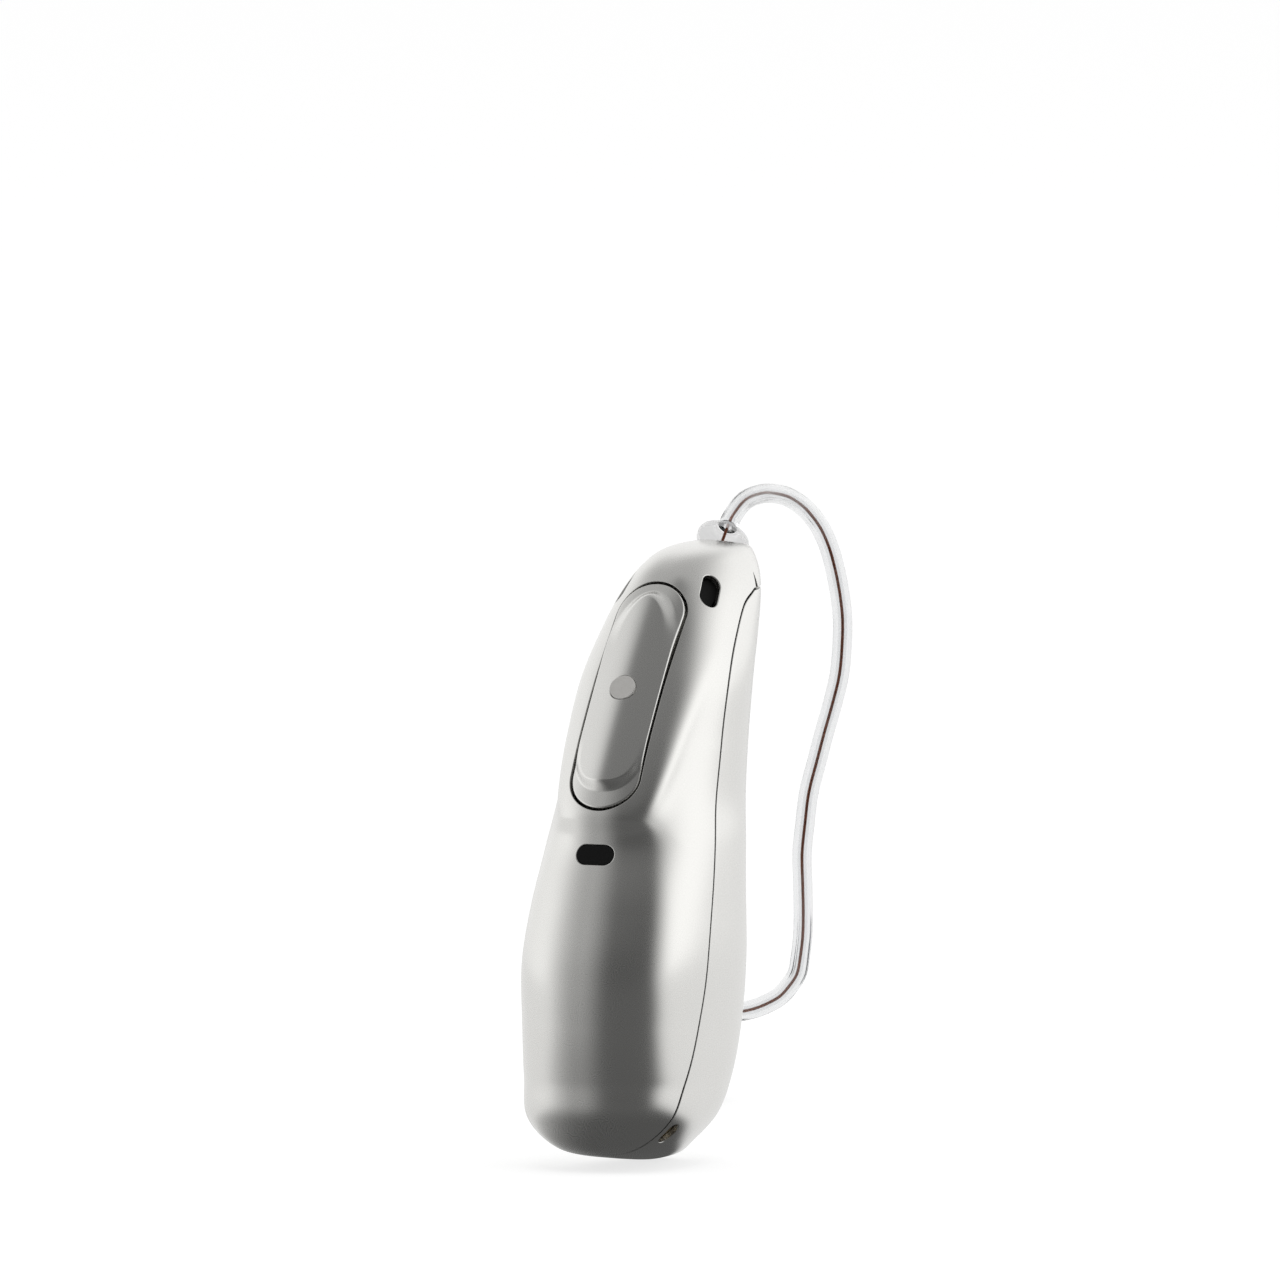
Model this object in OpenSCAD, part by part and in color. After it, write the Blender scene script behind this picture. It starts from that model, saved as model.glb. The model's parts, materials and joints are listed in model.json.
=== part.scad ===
// Behind-the-ear hearing aid with its speaker in the ear canal, for the right ear.
// Millimetres. +Z is up, -Y is the spine that faces backwards, +Y is the side on the ear,
// +X faces away from the head. The origin is the lowest point of the housing.

/* [Housing] */
// Height of the housing
body_h = 29.45; // [28.5:0.05:31]
// Depth of the housing from its spine to the side on the ear
body_d = 13.3; // [12.9:0.05:14]
// Width of the housing
body_w = 9.2; // [9:0.05:9.8]
// Wall of both shells
wall = 0.8; // [0.7:0.05:0.9]
// Gap of the parting line between the shells
parting_gap = 0.1; // [0.08:0.01:0.12]
// Depth of the step round the hood
hood_step = 0.45; // [0.3:0.05:0.5]
// Length over which the step falls
hood_fall = 0.35; // [0.3:0.05:0.5]
// Length over which the surface climbs back below the step
hood_reach = 2.6; // [2:0.1:3.2]

/* [Rocker button] */
// Width of the button
rocker_w = 3.5; // [3.4:0.05:3.7]
// Gap between the button and the shell
rocker_gap = 0.1; // [0.08:0.01:0.12]
// Height of the button's ridge over the line between its tips, at its middle
ridge_h = 0.8; // [0.7:0.05:0.9]
// Fall of the ridge from its middle to its ends
ridge_fall = 0.2; // [0.1:0.05:0.3]
// Thickness of the button below the line between its tips
rocker_t = 0.95; // [0.85:0.05:1]
// Depth of the pivot below the line between the tips
pivot_depth = 1.5; // [1.45:0.05:1.6]
// Radius of the pivot pins
pin_r = 0.3; // [0.25:0.01:0.32]
// Running clearance of the button on its pins
pin_fit = 0.03; // [0.02:0.01:0.04]
// Radius of the light pipe's window
light_r = 0.65; // [0.55:0.05:0.7]
// Distance from the pivot to each switch
switch_arm = 3.6; // [3.3:0.1:3.8]
// Free travel between the button's nub and the switch dome
press_gap = 0.22; // [0.2:0.01:0.25]

/* [Microphones] */
// Length of each sound slot
slot_l = 1.95; // [1.8:0.05:2.1]
// Width of each sound slot
slot_w = 1; // [0.9:0.05:1.1]
// Room beside the front microphone's boot, up to the shell
mic_side_gap = 0.85; // [0.8:0.05:1]
// Width of a microphone
mic_w = 1.9; // [1.8:0.1:2]
// Thickness of a microphone
mic_t = 1.1; // [1:0.05:1.2]

/* [Power] */
// Room between the rechargeable cell's rim and the shells
cell_gap = 1.05; // [1:0.05:1.2]
// Room between the cell's faces and the shells
cell_side_gap = 1.5; // [1.45:0.05:1.6]
// Radius of a charging contact
contact_r = 0.4; // [0.35:0.05:0.42]
// Length of a charging contact
contact_l = 0.9; // [0.8:0.05:1]

/* [Plug and wire] */
// Lean of the plug towards the ear, in degrees
plug_lean = 45; // [42:1:48]
// Radius of the plug's clear collar
collar_r = 1.3; // [1.2:0.05:1.35]
// Reach of the wire's loop from the plug
wire_reach_l = 11; // [10.8:0.1:11.4]
// Radius of the clear wire tube
tube_r = 0.475; // [0.45:0.005:0.5]
// Radius of the tube's bore
tube_bore_r = 0.22; // [0.2:0.01:0.24]
// Radius of the bundle of conductors
conductor_r = 0.12; // [0.1:0.01:0.14]

/* [Speaker] */
// Length of the speaker's case
case_l = 6; // [5.6:0.1:6.4]
// Width of the speaker's case
case_w = 3.4; // [3.2:0.1:3.6]
// Height of the speaker's case
case_h = 2.9; // [2.7:0.1:3.1]
// Radius of the spout
spout_r = 1; // [0.95:0.05:1.05]
// Radius of the ear dome
dome_r = 3.5; // [3.3:0.1:3.6]
// Thickness of the dome's skin
dome_t = 0.35; // [0.3:0.05:0.4]

/* [Hidden] */
$fn = 48;
// Overrun of every cut past the face it opens
over = 0.4;
// Clearance between two pieces that are fitted and stay still
fit = 0.02;
// Clearance between two pieces inside that only lie near each other
bay = 0.15;

// Stations of the housing from its lowest point to its top: height as a share of body_h,
// spine and ear side as shares of body_d, half width as a share of body_w
station_shares = [
    [0, 0, 0, 0], [0.0085, -0.252, 0.083, 0.163], [0.0323, -0.538, 0.102, 0.293],
    [0.0815, -0.632, 0.154, 0.44], [0.1494, -0.639, 0.263, 0.473], [0.2377, -0.647, 0.335, 0.489],
    [0.3328, -0.639, 0.357, 0.5], [0.4278, -0.579, 0.368, 0.484], [0.5229, -0.515, 0.398, 0.462],
    [0.5976, -0.466, 0.436, 0.435], [0.6893, -0.361, 0.47, 0.424], [0.7844, -0.218, 0.515, 0.413],
    [0.8557, -0.094, 0.605, 0.375], [0.9236, 0.03, 0.707, 0.315], [0.9677, 0.139, 0.752, 0.239],
    [0.9915, 0.301, 0.714, 0.163], [1, 0.568, 0.568, 0]];
last_station = len(station_shares) - 1;
// Roundness of a level section: the power of its curve low down, and at the hood
low_power = 2.75;
hood_power = 2.4;
// The power changes between these shares of the height
power_start_share = 0.41;
power_end_share = 0.815;
// Edge of the hood seen from the side: shares of body_d and of body_h
hood_edge_shares = [[-0.9, 0.569], [-0.486, 0.569], [-0.459, 0.579], [-0.414, 0.596],
    [-0.368, 0.621], [-0.293, 0.664], [-0.206, 0.714], [-0.092, 0.774], [0.041, 0.834],
    [0.194, 0.879], [0.45, 0.934]];
// The step is whole up to the first share of body_d and gone at the second
step_whole_share = -0.42;
step_gone_share = 0.2;
// Parting line seen from the side: shares of body_d and of body_h
parting_shares = [[-0.488, -0.2], [-0.488, 0.034], [-0.466, 0.071], [-0.421, 0.115],
    [-0.376, 0.156], [-0.331, 0.207], [-0.286, 0.275], [-0.241, 0.36], [-0.173, 0.455],
    [-0.105, 0.557], [-0.038, 0.645], [0.038, 0.747], [0.105, 0.808], [0.195, 0.856],
    [0.323, 0.903], [0.459, 0.924], [1, 0.924]];

// A value kept between two limits, and a soft step from 0 to 1
function held(v, low, high) = min(max(v, low), high);
function soft(v) = let (s = held(v, 0, 1)) s * s * (3 - 2 * s);
function unit(v) = v / norm(v);
// A power that keeps the sign
function signed_power(v, p) = sign(v) * pow(abs(v), p);

// One station in millimetres, drawn in by a depth: height, spine, ear side, half width
function station(i, depth) =
    let (s = station_shares[i], in = s[3] > 0 ? depth : 0)
    [depth + s[0] * (body_h - 2 * depth), s[1] * body_d + in, s[2] * body_d - in,
        s[3] * body_w - in];
// The stations go on past both poles as their own mirror image, so that the poles are round
function past_pole(pole, near) =
    [near[0], 2 * pole[1] - near[1], 2 * pole[2] - near[2], -near[3]];
function any_station(i, depth) =
    i < 0 ? past_pole(station(0, depth), station(1, depth))
    : i > last_station
    ? past_pole(station(last_station, depth), station(last_station - 1, depth))
    : station(i, depth);
// A smooth curve through four values, from the second to the third
function through(a, b, c, d, f) =
    0.5 * (2 * b + (c - a) * f + (2 * a - 5 * b + 4 * c - d) * f * f
        + (3 * b - a - 3 * c + d) * f * f * f);
function level(t, depth) =
    let (i = held(floor(t), 0, last_station - 1))
    through(any_station(i - 1, depth), any_station(i, depth), any_station(i + 1, depth),
        any_station(i + 2, depth), t - i);
// The level that lies at a height, found by halving
function level_at(z, depth, low = 0, high = last_station, turn = 24) =
    let (mid = (low + high) / 2)
    turn == 0 ? level(mid, depth)
    : level(mid, depth)[0] < z ? level_at(z, depth, mid, high, turn - 1)
    : level_at(z, depth, low, mid, turn - 1);
function power_at(z) =
    low_power + (hood_power - low_power)
        * held((z / body_h - power_start_share) / (power_end_share - power_start_share), 0, 1);
function spine_y(z, depth = 0) = level_at(z, depth)[1];
function ear_y(z, depth = 0) = level_at(z, depth)[2];
// Half width of the housing at a place seen from the side
function side_x(y, z, depth = 0) =
    let (s = level_at(z, depth), p = power_at(z), half = (s[2] - s[1]) / 2,
        r = abs(y - (s[1] + s[2]) / 2) / half)
    r < 1 ? s[3] * pow(1 - pow(r, p), 1 / p) : 0;

// Depth by which the surface is sunk below the edge of the hood
hood_edge = [for (s = hood_edge_shares) [s[0] * body_d, s[1] * body_h]];
function to_segment(p, a, b) =
    let (f = held((p - a) * (b - a) / ((b - a) * (b - a)), 0, 1)) norm(p - a - f * (b - a));
function to_hood_edge(p) =
    min([for (i = [0:len(hood_edge) - 2]) to_segment(p, hood_edge[i], hood_edge[i + 1])]);
function sunk(y, z) =
    let (d = z < lookup(y, hood_edge) ? to_hood_edge([y, z]) : 0,
        whole = 1 - soft((y / body_d - step_whole_share) / (step_gone_share - step_whole_share)))
    hood_step * whole * (1 - exp(-d / hood_fall)) * exp(-pow(d / hood_reach, 2));

// A point of the surface: place along the stations, angle round the section, depth inside
function skin_point(t, a, depth) =
    let (s = level(t, depth), p = power_at(s[0]), half = (s[2] - s[1]) / 2,
        x = s[3] * signed_power(cos(a), 2 / p),
        y = (s[1] + s[2]) / 2 + half * signed_power(sin(a), 2 / p),
        n = unit([signed_power(x / s[3], p - 1) / s[3],
            signed_power((y - (s[1] + s[2]) / 2) / half, p - 1) / half]),
        in = depth > 0 ? 0 : sunk(y, s[0]))
    [x - in * n[0], y - in * n[1], s[0]];

// A closed solid through rings of as many points each, with flat ends or joined to itself
module skin(rings, joined = false) {
    count = len(rings);
    sides = len(rings[0]);
    last = joined ? count - 1 : count - 2;
    walls = [for (i = [0:last], j = [0:sides - 1])
        let (a = i * sides + j, b = i * sides + (j + 1) % sides,
            c = ((i + 1) % count) * sides + (j + 1) % sides, d = ((i + 1) % count) * sides + j)
        each [[a, d, c], [a, c, b]]];
    ends = joined ? [] : [[for (j = [0:sides - 1]) j],
        [for (j = [sides - 1:-1:0]) (count - 1) * sides + j]];
    points = [for (ring = rings) each ring];
    polyhedron(points, concat(walls, ends), convexity = 8);
}

// The housing as one closed form, drawn in by a depth
module housing(depth, steps, sides) {
    levels = last_station * steps;
    rings = [for (i = [1:levels - 1]) [for (j = [0:sides - 1])
        skin_point(i / steps, j * 360 / sides, depth)]];
    low = [0, level(0, depth)[1], level(0, depth)[0]];
    high = [0, level(last_station, depth)[1], level(last_station, depth)[0]];
    points = concat([low], [for (ring = rings) each ring], [high]);
    top = len(points) - 1;
    last_ring = top - sides;
    walls = [for (i = [0:levels - 3], j = [0:sides - 1])
        let (a = 1 + i * sides + j, b = 1 + i * sides + (j + 1) % sides)
        each [[a, a + sides, b + sides], [a, b + sides, b]]];
    caps = [for (j = [0:sides - 1]) each [
        [0, 1 + j, 1 + (j + 1) % sides],
        [last_ring + j, top, last_ring + (j + 1) % sides]]];
    polyhedron(points, concat(walls, caps), convexity = 8);
}

// An outline of [y, z] points, extruded to a width about the middle plane
module across(outline, width) {
    rotate([90, 0, 90])
        linear_extrude(width, center = true)
            polygon(outline);
}
// A stadium standing on the plane of its frame, its length along y
module stadium(length, width, low, high) {
    hull()
        for (end = [-1, 1])
            translate([0, end * (length - width) / 2, low])
                cylinder(h = high - low, d = width, $fn = 32);
}
// A box centred in x and y, from a low to a high level
module block(x, y, low, high) {
    translate([-x / 2, -y / 2, low])
        cube([x, y, high - low]);
}

// Side of the parting line that belongs to the front shell
parting_line = [for (s = parting_shares) [s[0] * body_d, s[1] * body_h]];
front_side = concat(parting_line, [[body_d, parting_line[0][1]]]);
module front_region(grow) {
    rotate([90, 0, 90])
        linear_extrude(2 * body_w, center = true)
            offset(delta = grow)
                polygon(front_side);
}

// Frame of the button: y runs up the button, z outwards, the origin is on the line of its tips
rocker_low_share = 0.5935;
rocker_high_share = 0.9445;
tip_low = [spine_y(rocker_low_share * body_h), rocker_low_share * body_h];
tip_high = [spine_y(rocker_high_share * body_h), rocker_high_share * body_h];
rocker_l = norm(tip_high - tip_low);
lean = atan2(tip_high[0] - tip_low[0], tip_high[1] - tip_low[1]);
rocker_mid = (tip_low + tip_high) / 2;
module in_rocker() {
    translate([0, rocker_mid[0], rocker_mid[1]])
        rotate([90 - lean, 0, 0])
            children();
}
// Crown of the housing over the line of the tips, at the button's middle
mid_level = level_at(rocker_mid[1], 0);
crown = (rocker_mid[0] - mid_level[1]) * cos(lean);
half_depth = (mid_level[2] - mid_level[1]) / 2;
// Height of the housing's surface in the button's frame
function plain_height(x, u) =
    crown * (1 - pow(2 * u / rocker_l, 2))
        - half_depth * cos(lean)
            * (1 - pow(1 - pow(abs(x) / mid_level[3], hood_power), 1 / hood_power));
// The ridge: a soft roof whose footprint is a long oval, a little shorter than the button
ridge_slope_share = 0.36;
ridge_round_share = 0.09;
ridge_wide_share = 1.08;
ridge_long_share = 0.96;
ridge_edge_share = 0.07;
ridge_plan_power = 2.2;
function ridge_height(x, u) =
    let (round_r = ridge_round_share * rocker_w)
    ridge_h - ridge_fall * pow(2 * u / rocker_l, 2)
        - ridge_slope_share * (norm([x, round_r]) - round_r);
function ridge_plan(x, u) =
    pow(pow(2 * abs(x) / (ridge_wide_share * rocker_w), ridge_plan_power)
        + pow(2 * abs(u) / (ridge_long_share * rocker_l), ridge_plan_power),
        1 / ridge_plan_power);
function rocker_top(x, u) =
    let (base = plain_height(x, u), lift = max(ridge_height(x, u) - base, 0))
    base + lift * soft((1 - ridge_plan(x, u)) / ridge_edge_share);

// The works under the button, as depths below the line of its tips
lug_r = 0.42;
lug_t = 0.7;
lug_in = 1.05;
ear_t = 0.35;
ear_in = lug_in + lug_t + bay;
ear_w = 1.1;
ear_rise = 0.4;
board_t = 0.25;
board_w = 2.4;
shelf_t = 0.35;
led_h = 0.5;
led_l = 1;
led_w = 0.6;
press_base_t = 0.12;
press_base_w = 2.2;
press_rise = 0.22;
press_r = 0.9;
nub_r = 0.4;
pipe_r = 0.5;
pipe_step = 0.25;
board_depth = pivot_depth + lug_r + bay;
shelf_depth = board_depth + board_t;
shelf_end = shelf_depth + shelf_t;
led_depth = board_depth - led_h;
press_depth = board_depth - press_base_t - press_rise;
board_l = 2 * switch_arm + press_base_w;

// Frame on the surface at a place seen from the side: y runs along a hint, z outwards
tiny_share = 0.0005;
function side_normal(y, z) =
    let (e = tiny_share * body_h)
    unit([1, -(side_x(y + e, z) - side_x(y - e, z)) / (2 * e),
        -(side_x(y, z + e) - side_x(y, z - e)) / (2 * e)]);
module on_side(y, z, hint) {
    n = side_normal(y, z);
    v = unit(hint - (hint * n) * n);
    u = cross(v, n);
    multmatrix([[u[0], v[0], n[0], side_x(y, z)], [u[1], v[1], n[1], y], [u[2], v[2], n[2], z]])
        children();
}
module both_sides() {
    children();
    mirror([1, 0, 0])
        children();
}

// Sound slots: two at the front, one on the spine
front_slot_y_share = 0.1565;
front_slot_z_share = 0.9315;
front_slot_hint = [0, 0.85, 0.53];
rear_slot_share = 0.5215;
rear_z = rear_slot_share * body_h;
rear_lean = atan2(spine_y(rear_z + body_h / 100) - spine_y(rear_z - body_h / 100), body_h / 50);
slot_chamfer = 0.08;
screen_depth = 0.38;
screen_t = 0.12;
boot_t = 0.3;
channel_r = 0.28;
arm_r = 0.42;
arm_root_t = 0.03;
front_slot_y = front_slot_y_share * body_d;
front_slot_z = front_slot_z_share * body_h;
module at_front_slot() {
    on_side(front_slot_y, front_slot_z, front_slot_hint)
        children();
}
// On the spine the frame's y runs up and its z outwards
module at_rear_slot() {
    translate([0, spine_y(rear_z), rear_z])
        rotate([90 - rear_lean, 0, 0])
            children();
}
module slot_cut() {
    stadium(slot_l, slot_w, -wall - 2 * over, over);
    hull() {
        stadium(slot_l, slot_w, -slot_chamfer - over / 10, -slot_chamfer);
        stadium(slot_l + 4 * slot_chamfer, slot_w + 4 * slot_chamfer, slot_chamfer, 2 * slot_chamfer);
    }
}
module slot_screen() {
    stadium(slot_l - 2 * fit, slot_w - 2 * fit, -screen_depth - screen_t, -screen_depth);
}

// Front microphone: it stands behind the upper end of the button
front_mic_gap = 1.92;
front_mic_drop_h = 2.45;
front_mic_y = tip_high[0] + front_mic_gap + boot_t + mic_t / 2;
front_mic_z = tip_high[1] - front_mic_drop_h;
front_mic_end = front_mic_y + mic_t / 2 + boot_t;
mic_l = 2 * (side_x(front_mic_y, front_mic_z) - wall - mic_side_gap - boot_t);
// The boot's arms reach from the slots to the face of the boot
arm_l = (front_mic_y - mic_t / 2 - boot_t + arm_root_t - front_slot_y)
    / -side_normal(front_slot_y, front_slot_z)[1];
// Rear microphone: depth of its boot's face under the spine
rear_boot_gap = 0.45;
rear_boot_depth = wall + rear_boot_gap;

// Charging ports near the lowest point
port_y_share = -0.41;
port_z_share = 0.06;
port_hint = [1, 0.3, 1];
port_l = 1.25;
port_w = 0.9;
port_depth = 0.3;
module at_port() {
    on_side(port_y_share * body_d, port_z_share * body_h, port_hint)
        children();
}

// Plug frame: z runs out of the housing along the plug, the origin is on the surface
plug_y_share = 0.658;
function top_z(y, low, high, turn = 20) =
    let (mid = (low + high) / 2)
    turn == 0 ? mid : ear_y(mid) > y ? top_z(y, mid, high, turn - 1) : top_z(y, low, mid, turn - 1);
top_share = 0.97;
plug_y = plug_y_share * body_d;
plug_z = top_z(plug_y, top_share * body_h, body_h);
plug_out = [0, sin(plug_lean), cos(plug_lean)];
collar_h = 0.45;
collar_sink = 0.25;
holder_r = 0.62;
holder_h = 0.75;
stem_w = 1.2;
stem_t = 0.9;
lock_r = 0.25;
fin_t = 0.3;
plug_pad_w = 0.25;
plug_pad_t = 0.08;
// The socket ends in front of the front microphone's boot, and the stem in the socket
socket_w = 1.9;
socket_t = 1.5;
socket_gap = 0.23;
socket_floor_t = 0.18;
socket_share = 0.6;
socket_end = (plug_y - socket_t / 2 * cos(plug_lean) - front_mic_end - socket_gap)
    / sin(plug_lean);
stem_l = socket_end - socket_floor_t - plug_pad_t - 2 * fit;
socket_start = socket_share * stem_l;
socket_l = socket_end - socket_start;
lock_in = 0.5;
lock_depth = socket_start + lock_in;
// Depths of the seal's outer and inner face
seal_high_share = 0.3;
seal_deep_share = 0.7;
plug_seat = [0, plug_y, plug_z];
plug_exit = plug_seat + holder_h * plug_out;
lock_at = plug_seat - lock_depth * plug_out;
// The pin ends in the wall, short of the seal
lock_half = side_x(lock_at[1], lock_at[2]) - seal_deep_share * wall - bay;
module in_plug() {
    translate(plug_seat)
        rotate([-plug_lean, 0, 0])
            children();
}

// Route of the wire's middle from the plug to the speaker: places from the plug's exit as
// shares of the loop's reach
wire_shares = [[0, 0.056, 0.046], [0, 0.183, 0.1], [0, 0.347, 0.118], [0, 0.502, 0.109],
    [0.009, 0.647, 0.082], [0.018, 0.793, 0.028], [0.036, 0.893, -0.045], [0.055, 0.947, -0.118],
    [0.073, 0.983, -0.209], [0.1, 0.993, -0.336], [0.118, 0.993, -0.463], [0.118, 0.993, -0.582],
    [0.109, 0.983, -0.727], [0.082, 0.965, -0.863], [0.055, 0.938, -0.991],
    [0.027, 0.911, -1.127], [0, 0.893, -1.254], [-0.018, 0.893, -1.391], [-0.036, 0.902, -1.527],
    [-0.045, 0.929, -1.663], [-0.055, 0.956, -1.791], [-0.073, 0.993, -1.9], [-0.1, 1.029, -2],
    [-0.136, 1.074, -2.082], [-0.191, 1.111, -2.145], [-0.255, 1.138, -2.2],
    [-0.345, 1.156, -2.245], [-0.436, 1.183, -2.272], [-0.509, 1.22, -2.282],
    [-0.582, 1.265, -2.291]];
wire_points = [for (s = wire_shares) plug_exit + wire_reach_l * s];
wire_end = wire_points[len(wire_points) - 1];
wire_steps = 2;
tube_sides = 10;
core_sides = 8;
core_in = 1;
// Direction of the speaker: its turn about the upright, and its tilt away from it
ear_turn = 144;
ear_tilt = 96;
ear_out = [sin(ear_tilt) * cos(ear_turn), sin(ear_tilt) * sin(ear_turn), cos(ear_tilt)];
module in_speaker() {
    translate(wire_end)
        rotate([0, ear_tilt, ear_turn])
            children();
}
tube_route = concat([plug_exit], wire_points);
core_route = concat([plug_exit - core_in * plug_out], tube_route, [wire_end + core_in * ear_out]);

// Rings of a round section along a route, squared to the plug and to the speaker at its ends
function route_point(route, i) =
    i < 0 ? 2 * route[0] - route[1]
    : i > len(route) - 1 ? 2 * route[len(route) - 1] - route[len(route) - 2] : route[i];
function along(route, k) =
    let (i = min(floor(k / wire_steps), len(route) - 2))
    through(route_point(route, i - 1), route_point(route, i), route_point(route, i + 1),
        route_point(route, i + 2), k / wire_steps - i);
function heading(route, k) =
    k == 0 ? plug_out : k == (len(route) - 1) * wire_steps ? ear_out
    : unit(along(route, k + 1) - along(route, k - 1));
function ring_at(route, k, r, sides) =
    let (p = along(route, k), d = heading(route, k), s = unit(cross(d, [1, 0, 0])), w = cross(s, d))
    [for (j = [0:sides - 1]) p + r * (cos(360 * j / sides) * w + sin(360 * j / sides) * s)];
function tube_rings(route, r, sides) =
    [for (k = [0:(len(route) - 1) * wire_steps]) ring_at(route, k, r, sides)];

// Speaker: lengths along its axis, from the end of the wire
relief_l = 2.2;
relief_r = 0.7;
relief_end_r = 1.15;
case_round = 0.9;
case_wall = 0.35;
spout_l = 2.7;
spout_bore_r = 0.55;
filter_l = 0.5;
filter_hole_r = 0.3;
dome_bore_gap = 0.03;
dome_hub_r = 1.45;
dome_h = 3.3;
dome_hole_r = 0.72;
dome_rim_angle = 96;
hub_l = 2.3;
case_start = relief_l;
case_end = case_start + case_l;
spout_end = case_end + spout_l;

// Housing shells
shell_steps = 4;
shell_sides = 56;
inner_steps = 2;
inner_sides = 36;
hook_shares = [0.2, 0.4, 0.62];
hook_h = 0.9;
hook_t = 0.3;
hook_reach = 0.8;
hook_root = 0.4;
function parting_y(z) = lookup(z / body_h, [for (s = parting_shares) [s[1], s[0]]]) * body_d;
// A tongue on the inside of the back shell that reaches past the parting line
module hook(z) {
    y = parting_y(z);
    x = side_x(y, z, wall);
    hull() {
        translate([x - hook_t, y - 2 * hook_root - hook_root, z - hook_h / 2])
            cube([hook_t + wall / 5, hook_root, hook_h]);
        translate([x - hook_t - bay, y - hook_root, z - hook_h / 2])
            cube([hook_t, hook_root + hook_reach, hook_h]);
    }
}
// The ledge on the inside of the front shell that the tongue snaps past
module catch(z) {
    y = parting_y(z) + hook_reach + bay;
    x = side_x(y + hook_root, z, wall);
    hull() {
        translate([x - hook_t - bay, y, z - hook_h / 2])
            cube([hook_t + bay + wall / 4, hook_root / 2, hook_h]);
        translate([x - bay, y + hook_root, z - hook_h / 2])
            cube([bay + wall / 4, hook_root, hook_h]);
    }
}
module rocker_opening() {
    in_rocker()
        stadium(rocker_l + 2 * rocker_gap, rocker_w + 2 * rocker_gap, -rocker_t - over,
            ridge_h + over);
}
// The three-cornered notch at the front end of the parting line
notch_shares = [[0.472, 0.92], [0.508, 0.92], [0.508, 0.951]];
module notch() {
    across([for (s = notch_shares) [s[0] * body_d, s[1] * body_h]], 2 * body_w);
}

module back_shell() {
    color("silver")
        union() {
            difference() {
                housing(0, shell_steps, shell_sides);
                housing(wall, inner_steps, inner_sides);
                front_region(parting_gap / 2);
                rocker_opening();
                at_rear_slot()
                    rotate(90)
                        slot_cut();
                both_sides()
                    at_front_slot()
                        slot_cut();
                in_plug() {
                    translate([0, 0, -collar_sink])
                        cylinder(h = collar_sink + 2 * collar_r, r = collar_r + fit);
                    translate([0, 0, -socket_start])
                        cylinder(h = socket_start, r = norm([stem_w, stem_t]) / 2 + fit);
                }
                notch();
                lock_line(2 * body_w, lock_r + fit);
            }
            both_sides()
                for (s = hook_shares)
                    hook(s * body_h);
        }
}

module front_shell() {
    color("silver")
        union() {
            difference() {
                intersection() {
                    housing(0, shell_steps, shell_sides);
                    front_region(-parting_gap / 2);
                }
                housing(wall, inner_steps, inner_sides);
                both_sides()
                    at_port() {
                        stadium(port_l, port_w, -wall - 2 * over, over);
                        hull() {
                            stadium(port_l, port_w, -slot_chamfer - over / 10, -slot_chamfer);
                            stadium(port_l + 4 * slot_chamfer, port_w + 4 * slot_chamfer,
                                slot_chamfer, 2 * slot_chamfer);
                        }
                    }
                lock_line(2 * body_w, lock_r + fit);
            }
            both_sides()
                for (s = hook_shares)
                    catch(s * body_h);
        }
}

// Seal in the parting line, part way through the wall, all the way round. Each of its rings has
// four corners: its outer and inner depth on one side of the line, then on the other side
seal_t = parting_gap - fit;
seal_end_angles = [15, 35, 55, 75];
function normal_of(a, b) = unit([a[1] - b[1], b[0] - a[0]]);
function mitred(i, off) =
    let (a = normal_of(parting_line[i - 1], parting_line[i]),
        b = normal_of(parting_line[i], parting_line[i + 1]), m = unit(a + b))
    parting_line[i] + off / (m * a) * m;
function seal_corners() = [for (c = [[seal_high_share, -1], [seal_deep_share, -1],
    [seal_deep_share, 1], [seal_high_share, 1]]) [c[0] * wall, c[1] * seal_t / 2]];
function seal_at(i) = [for (c = seal_corners())
    let (p = mitred(i, c[1])) [side_x(p[0], p[1], c[0]), p[0], p[1]]];
// Where the lowest stretch of the line reaches a half width, found by halving
function low_point(a, b, x, depth, turn = 20) =
    let (m = (a + b) / 2)
    turn == 0 ? m : side_x(m[0], m[1], depth) < x ? low_point(m, b, x, depth, turn - 1)
    : low_point(a, m, x, depth, turn - 1);
function seal_low(share) = [for (c = seal_corners())
    let (a = mitred(1, c[1]), b = mitred(2, c[1]), x = share * side_x(b[0], b[1], c[0]),
        p = low_point(a, b, max(x, fit / 10), c[0])) [x, p[0], p[1]]];
seal_last = len(parting_line) - 2;
function seal_front(a) = [for (c = seal_corners())
    let (start = seal_at(seal_last)[0], z = lookup(body_d / 2, parting_line) + c[1],
        s = level_at(z, c[0]), p = power_at(z), mid = (s[1] + s[2]) / 2, half = (s[2] - s[1]) / 2,
        begin = asin(pow((start[1] - mid) / half, p / 2)), t = begin + (90 - begin) * a / 90)
    [s[3] * pow(max(cos(t), 0), 2 / p), mid + half * pow(sin(t), 2 / p), z]];
seal_half = concat([for (k = [0:3]) seal_low(k / 4)], [for (i = [2:seal_last]) seal_at(i)],
    [for (a = concat(seal_end_angles, [90])) seal_front(a)]);
seal_rings = concat(seal_half, [for (i = [len(seal_half) - 2:-1:1])
    [for (p = seal_half[i]) [-p[0], p[1], p[2]]]]);
module shell_seal() {
    color("dimgray")
        skin(seal_rings, true);
}

// Cell and chassis
cell_y_share = -0.155;
cell_z_share = 0.2505;
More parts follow.
